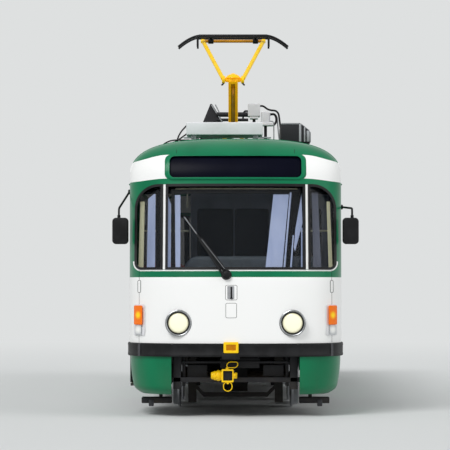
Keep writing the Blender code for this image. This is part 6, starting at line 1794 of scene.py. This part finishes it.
# Pale grey on the ribs and along the top edges of the ends: painted highlights.
ribs = []
for low_x, high_x, top_z in ((0.810, 0.838, 3.578), (0.872, 0.890, 3.535), (0.908, 0.944, 3.492)):
    low, high = (low_x, RESISTOR_LOW[1] - 0.006, RIB_LOW_Z), (high_x, RESISTOR_LOW[1] + 0.004, top_z)
    ribs.append(boxed(low, high, 0.003))
for step in range(16):
    y = -3.79 + step * 0.0725
    ribs.append(boxed((0.946, y - 0.012, RIB_LOW_Z), (0.962, y + 0.012, 3.478), 0.004, axis="X"))
    (low_x, high_z), (high_x, low_z) = RESISTOR_EDGE
    outline = [
        (low_x + 0.012, high_z - 0.012), (high_x - 0.012, low_z + 0.008), (high_x - 0.004, low_z + 0.016),
        (low_x + 0.020, high_z - 0.002)
    ]
    ribs.append(pressed("Y", outline, y - 0.012, y + 0.012, 0.002))
for y in (RESISTOR_LOW[1], RESISTOR_HIGH[1]):
    ribs.append(boxed((RESISTOR_LOW[0], y - 0.004, 3.574), (0.815, y + 0.004, 3.584), 0.003))
finished(joined(ribs), "resistor_rib_highlights", grey_bracket, slot="white_equipment")


# Pantograph base
# A tube frame on four ribbed insulators, with the pivot lugs, a spring strut in a triangular bracket, two
# white switch cases on posts, and rigid conduits clipped down to the roof.
PAN_X, PIVOT_Y, PIVOT_Z = -0.03, -3.20, 3.50
BASE_HALF, BASE_LOW_Y, BASE_HIGH_Y, BASE_Z = 0.45, -3.75, -2.35, 3.38
POST_Y, POST = -2.50, 0.02
BAR, CROSS_BAR = 0.015, 0.014
LUG = (
    (-0.09, BASE_Z), (0.09, BASE_Z), (
        0.045, PIVOT_Z + 0.03
    ), (0.02, PIVOT_Z + 0.05), (-0.02, PIVOT_Z + 0.05),
    (-0.045, PIVOT_Z + 0.03)
)

parts, insulators = [], []
for x in (PAN_X - BASE_HALF, PAN_X + BASE_HALF):
    low, high = (x - BAR, BASE_LOW_Y, BASE_Z - BAR), (x + BAR, BASE_HIGH_Y, BASE_Z + BAR)
    parts.append(boxed(low, high))
    for y in (BASE_LOW_Y + FOOT_INSET, BASE_HIGH_Y - FOOT_INSET):
        low_z = max(roof_z(x - 0.04), roof_z(x + 0.04))
        rise = BASE_Z - BAR - low_z
        outline = [(0.0, rise)]
        for step in range(4):
            at = rise * (1 - step / 4)
            outline += [
                (0.024, at), (0.024, at - rise * 0.08), (0.040, at - rise * 0.14), (0.040, at - rise * 0.19)
            ]
        outline += [(0.030, 0.0), (0.0, 0.0)]
        insulators.append(turned(outline, (x, y, low_z), (0, 0, 1), 32))
for y in (BASE_LOW_Y + BAR, PIVOT_Y, POST_Y, BASE_HIGH_Y - BAR):
    low = (PAN_X - BASE_HALF, y - CROSS_BAR, BASE_Z - CROSS_BAR)
    parts.append(boxed(low, (PAN_X + BASE_HALF, y + CROSS_BAR, BASE_Z + CROSS_BAR)))
for way in (-1, 1):
    x = PAN_X + way * 0.17
    lug = [(PIVOT_Y + along, z) for along, z in LUG]
    parts.append(pressed("X", lug, x - 0.02, x + 0.02, 0.004))
    boss = cap(0.032, 0.03, 0.006, 0.006)
    parts.append(turned(boss, (x + way * 0.018, PIVOT_Y, PIVOT_Z), (way, 0, 0), 24))
ends = [(PAN_X + way * 0.19, PIVOT_Y, PIVOT_Z) for way in (-1, 1)]
parts.append(tubed(ends, 0.0249, resolution=6))
for z, radius in ((3.722, 0.020), (3.793, 0.032)):
    parts.append(tubed([(PAN_X - 0.22, POST_Y, z), (PAN_X + 0.20, POST_Y, z)], radius, resolution=5))
for x, top_z in ((0.247, 3.755), (0.399, 3.675)):
    parts.append(boxed((x - POST, POST_Y - POST, BASE_Z), (x + POST, POST_Y + POST, top_z)))
triangle = [
    (-0.47, BASE_Z + 0.012), (0.02, BASE_Z + 0.012), (-0.04, 3.50), (-0.312, 3.935), (-0.334, 3.935),
    (-0.47, 3.60)
]
parts.append(pressed("Y", triangle, POST_Y - 0.006, POST_Y + 0.006, 0.002))
parts.append(boxed((-0.46, POST_Y - 0.03, 3.405), (-0.14, POST_Y + 0.03, 3.435)))
finished(joined(parts), "pantograph_frame", dark_steel, ["pantograph_base"])
insulator_brown = plain_finish("insulator_glaze", tint(66, 42, 34), tint(44, 30, 26), 0.2, 10.0, 0.5)
finished(joined(insulators), "insulators", insulator_brown, slot="dark_steel")

struts = [
    tubed([(-0.322, POST_Y - 0.014, 3.925), (-0.035, POST_Y - 0.014, 3.470)], 0.0085),
    tubed([(-0.268, POST_Y - 0.014, 3.925), (-0.205, POST_Y - 0.014, 3.800)], 0.0085),
]
finished(joined(struts), "spring_strut", grey_bracket, slot="white_equipment")
cases = [
    boxed((0.165, POST_Y - 0.11, 3.760), (0.327, POST_Y + 0.11, 3.932), 0.012, 0.016),
    boxed((0.340, POST_Y - 0.11, 3.672), (0.450, POST_Y + 0.11, 3.826), 0.010, 0.012),
    boxed((0.19, POST_Y - 0.10, 3.732), (0.30, POST_Y + 0.10, 3.762), 0.004),
    boxed((0.34, POST_Y - 0.13, 3.640), (0.50, POST_Y + 0.10, 3.674), 0.004),
    boxed((0.450, POST_Y - 0.07, 3.70), (0.462, POST_Y + 0.07, 3.81), 0.003),
]
finished(joined(cases), "switch_cases", white_equipment)


def conduit(points, radius):
    return tubed(bent(points, 0.08, 8), radius)


dark_runs = [
    conduit(
        [
            (-0.48, -3.62, 3.40), (-0.48, -3.72, 3.58), (-0.60, -4.10, 3.56), (-0.686, -4.30, 3.45),
            (-0.730, -4.34, 3.36), (-0.745, -4.34, roof_z(0.745))
        ],
        0.010
    ),
    conduit(
        [
            (0.32, POST_Y, 3.905), (0.37, POST_Y, 3.91), (0.44, POST_Y, 3.85), (0.57, POST_Y, 3.845),
            (0.60, POST_Y, 3.60)
        ],
        0.013
    ),
    conduit(
        [
            (0.45, POST_Y - 0.04, 3.79), (0.53, POST_Y - 0.04, 3.80), (0.55, POST_Y - 0.04, 3.70),
            (0.50, POST_Y - 0.04, 3.64)
        ],
        0.016
    ),
    conduit(
        [
            (-0.44, -2.9, 3.40), (-0.46, -3.2, 3.56), (-0.60, -4.2, 3.44), (-0.74, -4.7, 3.30),
            (-0.95, -4.9, 3.21), (-1.06, -4.9, 3.10)
        ],
        0.010
    ),
    conduit([(0.165, POST_Y, 3.84), (0.11, POST_Y, 3.84), (0.10, POST_Y, 3.74)], 0.012),
    conduit([(-0.56, -5.3, 3.285), (-0.80, -5.3, 3.285), (-0.92, -5.3, 3.20)], 0.009),
]
finished(joined(dark_runs), "roof_conduits_dark", black_trim)
pale_runs = [
    conduit(
        [
            (0.46, POST_Y, 3.79), (0.55, POST_Y, 3.80), (0.57, POST_Y, 3.56), (0.60, POST_Y, 3.30),
            (0.60, POST_Y, roof_z(0.60))
        ],
        0.009
    ),
    conduit(
        [
            (0.46, POST_Y - 0.05, 3.70), (0.51, POST_Y - 0.05, 3.70), (0.51, POST_Y - 0.05, 3.42),
            (0.47, POST_Y - 0.05, 3.38)
        ],
        0.008
    ),
]
finished(joined(pale_runs), "roof_conduits_pale", grey_bracket, slot="white_equipment")


# Pantograph
# Two side tubes with a web between them make the lower arm, which ends in a pin under a domed cap. The
# tubes glow a little by emission, painted light, and the web and the head's cross tube take a darker yellow,
# painted shade. Two tubes spread from the pin's forks to the head's cross tube, which carries two black
# strips with horns.
KNEE = Vector((PAN_X, -3.20 - math.sqrt(1.30**2 - 0.60**2), PIVOT_Z + 0.60))
HEAD = Vector((PAN_X, -3.20, PIVOT_Z + 1.20))
PIVOT = Vector((PAN_X, PIVOT_Y, PIVOT_Z))
ARM_TUBE, ARM_TUBE_X = 0.019, 0.042
FORK_X = 0.12
HEAD_SPREAD = 0.393
TUBE_END = ((0.0, 0.028), (0.022, 0.028), (0.027, 0.020), (0.027, -0.02), (0.0, -0.02))
STRIP_Y = 0.13
PIVOT_SLEEVE = ((0.0262, 0.139), (0.070, 0.139), (0.075, 0.134), (0.075, 0.090), (0.062, 0.080))
KNEE_PIN = (
    (0.0, 0.1395), (0.018, 0.1395), (0.0218, 0.136), (0.0218, 0.098), (0.030, 0.096), (0.030, 0.062),
    (0.048, 0.058), (0.054, 0.050)
)
KNEE_DOME = (
    (0.0, 0.078), (
        0.020, 0.078
    ), (0.026, 0.070), (0.050, 0.064), (0.074, 0.050), (0.090, 0.030), (0.094, 0.020),
    (0.086, 0.016), (0.060, 0.024), (0.0, 0.028)
)


def aside(point, x):
    return point + Vector((x, 0.0, 0.0))


# A yellow that glows by emission: painted light on the lower arm's tubes.
arm_yellow, place = new_finish("arm_yellow")
chips = place.grain(30.0, 5.0).rise(0.60, 0.74)
coat_with(
    arm_yellow, Base_Color=(chips * 0.5).coloured(
        tint(246, 184, 10), DEEP_YELLOW
    ), Roughness=0.3 + chips * 0.2,
    Normal=(place.grain(160.0, 2.0) + chips * -0.6).bumped(0.0006, 0.35), Emission_Color=tint(238, 168, 8),
    Emission_Strength=0.30, Specular_IOR_Level=0.3
)
# A darker copy of the yellow, painted shade, for the web and the head's cross tube.
dark_yellow = plain_finish("shaded_yellow", tint(196, 134, 6), tint(150, 98, 6), 0.45, 9.0, 0.6, shine=0.3)
run = (KNEE - PIVOT).normalized()
start, end = PIVOT + run * 0.05, KNEE - run * 0.03
tubes = [tubed([aside(start, x), aside(end, x)], ARM_TUBE, resolution=5) for x in (-ARM_TUBE_X, ARM_TUBE_X)]
tubes += [
    turned(both_ways(PIVOT_SLEEVE), PIVOT, (1, 0, 0), 48),
    turned(both_ways(KNEE_PIN), KNEE, (1, 0, 0), 48),
    turned(KNEE_DOME, KNEE, (0, 0, 1), 48),
]
for step in range(6):
    angle = math.pi * step / 3
    foot = KNEE + Vector((0.062 * math.cos(angle), 0.062 * math.sin(angle), 0.0))
    tubes.append(tubed([foot - Vector((0, 0, 0.03)), foot + Vector((0, 0, 0.03))], 0.010))
body = "pantograph_lower_arm"
finished(joined(tubes), "lower_arm_tubes", arm_yellow, [body], slot="yellow_paint", body=body)

web = boxed((-0.034, -0.010, 0.04), (0.034, 0.010, (KNEE - PIVOT).length - 0.05), 0.004)
web.data.transform(Matrix.Translation(PIVOT) @ run.to_track_quat("Z", "Y").to_matrix().to_4x4())
across = run.cross(Vector((1, 0, 0)))
drop = across * (-0.115 if across.z > 0 else 0.115)
rod_start, rod_end = PIVOT.lerp(KNEE, 0.16), PIVOT.lerp(KNEE, 0.88)
rod = tubed(bent([rod_start, rod_start + drop, rod_end + drop, rod_end], 0.03), 0.0125)
finished(joined([web, rod]), "lower_arm_web", dark_yellow, slot="yellow_paint", body=body)

tubes = []
for way in (-1, 1):
    fork, top = aside(KNEE, way * FORK_X), aside(HEAD, way * HEAD_SPREAD)
    tubes.append(tubed([fork.lerp(top, 0.025), top], 0.0255, resolution=5))
    tubes.append(turned(sleeve(0.0232, 0.049, 0.0195, 0.004, 0.0045), fork, (1, 0, 0), 40))
    tubes.append(turned(TUBE_END, top, (way, 0, 0), 28))
body = "pantograph_upper_arm"
finished(joined(tubes), "upper_arm_tubes", yellow_paint, [body], body=body)
cross = tubed([aside(HEAD, -HEAD_SPREAD), aside(HEAD, HEAD_SPREAD)], 0.0198, resolution=5)
finished(cross, "head_cross_tube", dark_yellow, slot="yellow_paint", body=body)
hooks = []
for way in (-1, 1):
    root = aside(KNEE, way * (FORK_X + 0.004))
    line = [
        root + Vector((way * out, -0.02, -drop))
        for out, drop in ((0.0, 0.02), (0.0, 0.062), (0.024, 0.068))
    ]
    hooks.append(tubed(bent(line, 0.02), 0.010))
finished(joined(hooks), "knee_hooks", black_trim, body=body)

parts = []
for way in (-1, 1):
    centre = aside(HEAD, way * 0.29)
    parts.append(turned(sleeve(0.0212, 0.034, 0.0345, 0.004, 0.0045), centre, (1, 0, 0), 32))
    low, high = centre + Vector(
        (-0.017, -STRIP_Y - 0.02, 0.030)
    ), centre + Vector((0.017, STRIP_Y + 0.02, 0.037))
    parts.append(boxed(low, high, 0.003))
    for end in (-1, 1):
        spot = centre + Vector((way * 0.172, end * STRIP_Y, 0.0))
        parts.append(boxed(spot - Vector((0.012, 0.012, 0.085)), spot + Vector((0.012, 0.012, 0.040))))
    y = HEAD.y + way * STRIP_Y
    parts.append(
        boxed((PAN_X - 0.455, y - 0.022, HEAD.z + 0.036), (PAN_X + 0.455, y + 0.022, HEAD.z + 0.060))
    )
    for end in (-1, 1):
        points = []
        for step in range(15):
            share = step / 14
            x = PAN_X + end * (0.43 + 0.283 * share)
            points.append((x, y, HEAD.z + 0.060 - 0.145 * share**1.7))
        parts.append(tubed(points, 0.0135))
finished(joined(parts), "head_frame", black_trim, ["pantograph_head"], body="pantograph_head")
carbon = plain_finish("carbon", tint(34, 34, 38), tint(74, 74, 78), 0.35, 26.0, 0.6, 0.2)
strips = []
for way in (-1, 1):
    low = HEAD + Vector((-0.445, way * STRIP_Y - 0.018, 0.0595))
    strips.append(boxed(low, HEAD + Vector((0.445, way * STRIP_Y + 0.018, 0.0748)), 0.004))
finished(joined(strips), "contact_strips", carbon, slot="black_trim", body="pantograph_head")


# Front fittings
# Flush covers and seams on the front panel: a joint line with a capsule cover at each corner, a hatch with a
# recessed handle, a blank plate, two seams over the sign, and a joint cover on the bumper, whose grey,
# lighter than the black rubber, is also a painted glint.
SEAM_X, SEAM_RADIUS = 1.118, 0.0022
CAPSULE_Z, CAPSULE_HALF_X, CAPSULE_HALF_Z = 1.507, 0.021, 0.075
HATCH = ((-0.117, 1.350), (0.020, 1.523))
HATCH_PANEL = ((-0.093, 1.362), (-0.014, 1.511))
BLANK = ((-0.113, 1.145), (0.015, 1.317))
HOOD_SEAM_X = 0.69


gaps, covers = [], []


def flush_cover(low, high, corner, line=0.0045):
    """A painted cover on the front with a dark gap showing round it."""
    (low_x, low_z), (high_x, high_z) = low, high
    gaps.append(end_patch(-1, 0.0012, 0.0004, low, high, corner))
    inner = (low_x + line, low_z + line), (high_x - line, high_z - line)
    covers.append(end_patch(-1, 0.0032, 0.0004, *inner, corner - line))


for way in (-1, 1):
    x = way * SEAM_X
    zs = [BUMPER_TOP_Z + 0.004 + step * 0.042 for step in range(21)]
    gaps.append(tubed([(x, end_y(-1, x, z), z) for z in zs], SEAM_RADIUS))
    zs = [3.062 + step * 0.012 for step in range(5)]
    gaps.append(tubed([(way * HOOD_SEAM_X, end_y(-1, HOOD_SEAM_X, z), z) for z in zs], SEAM_RADIUS))
    low = (x - CAPSULE_HALF_X, CAPSULE_Z - CAPSULE_HALF_Z)
    high = (x + CAPSULE_HALF_X, CAPSULE_Z + CAPSULE_HALF_Z)
    flush_cover(low, high, CAPSULE_HALF_X - 0.0005, 0.006)
for low, high in (HATCH, BLANK):
    flush_cover(low, high, 0.018)
gaps.append(tubed([(-0.047, end_y(-1, 0.047, z) - 0.006, z) for z in (1.372, 1.437, 1.502)], 0.0095))
gaps.append(tubed([(-0.047, end_y(-1, 0.047, z) - 0.007, z) for z in (1.366, 1.378)], 0.014))
finished(joined(gaps), "front_seams", black_trim)
finished(joined(covers), "front_covers", body_paint)
panel = end_patch(-1, 0.0046, 0.0004, *HATCH_PANEL, 0.006)
finished(panel, "hatch_panel", grey_bracket, slot="white_equipment")
joint_grey = plain_finish("joint_cover", tint(66, 66, 70), tint(48, 48, 52), 0.5, 10.0, shine=0.3)
# Joint covers whose grey, lighter than the bumper, is also a painted glint.
joints = [
    end_patch(-1, 0.0235, 0.018, (way * SEAM_X - 0.015, 0.703), (way * SEAM_X + 0.015, 0.851), 0.002)
    for way in (-1, 1)
]
finished(joined(joints), "bumper_joints_and_glints", joint_grey, slot="black_trim")


# Top lights
# Each side window has a sliding top light: an aluminium frame with a meeting stile over a bar.
STILE = 0.011
half = WINDOW_HALF - RUBBER_IN
low_z, high_z = TOP_LIGHT_Z, WINDOW_HIGH_Z - RUBBER_IN
for word, side, places in WINDOWS:
    xs = span(side, 1.2, 1.216)
    outer = rounded_plate(
        "X", (xs[0], -half, low_z - STILE), (xs[1], half, high_z), 0.004, WINDOW_CORNER - RUBBER_IN
    )
    for low_y, high_y in ((-half + STILE, -STILE), (STILE, half - STILE)):
        hole = rounded_plate(
            "X", (xs[0] - OVERRUN, low_y, low_z + STILE), (xs[1] + OVERRUN, high_y, high_z - STILE), 0.010
        )
        cut_away(outer, hole)
    settle_bevel(outer, 0.002, 2)
    grip = boxed(
        (xs[0] - 0.004, -0.05, low_z + 0.03), (xs[1] + 0.004, -0.03, low_z + 0.09), 0.002, axis="X"
    )
    pattern = joined([outer, grip])
    frames = repeated(pattern, [(0.0, place * PITCH, 0.0) for place in places])
    finished(frames, f"top_lights_{word}", bright_metal, slot="white_equipment")


# Skirt brackets
# A dark steel bracket with a small rubber pad hangs below each corner skirt.
for word, side in ENDS:
    steel, pads = [], []
    for way in (-1, 1):
        xs = span(way, 0.75, 1.105)
        ys = span(side, 5.98, 6.18)
        steel.append(boxed((xs[0], ys[0], 0.135), (xs[1], ys[1], 0.205), 0.010))
        xs = span(way, 0.86, 0.90)
        steel.append(boxed((xs[0], ys[0] + 0.05, 0.20), (xs[1], ys[1] - 0.05, 0.72), 0.004))
        xs = span(way, 0.962, 1.020)
        ys = span(side, 6.10, 6.19)
        pads.append(boxed((xs[0], ys[0], 0.100), (xs[1], ys[1], 0.180), 0.008))
    finished(joined(steel), f"{word}_skirt_brackets", dark_steel)
    finished(joined(pads), f"{word}_skirt_pads", joint_grey, slot="black_trim")
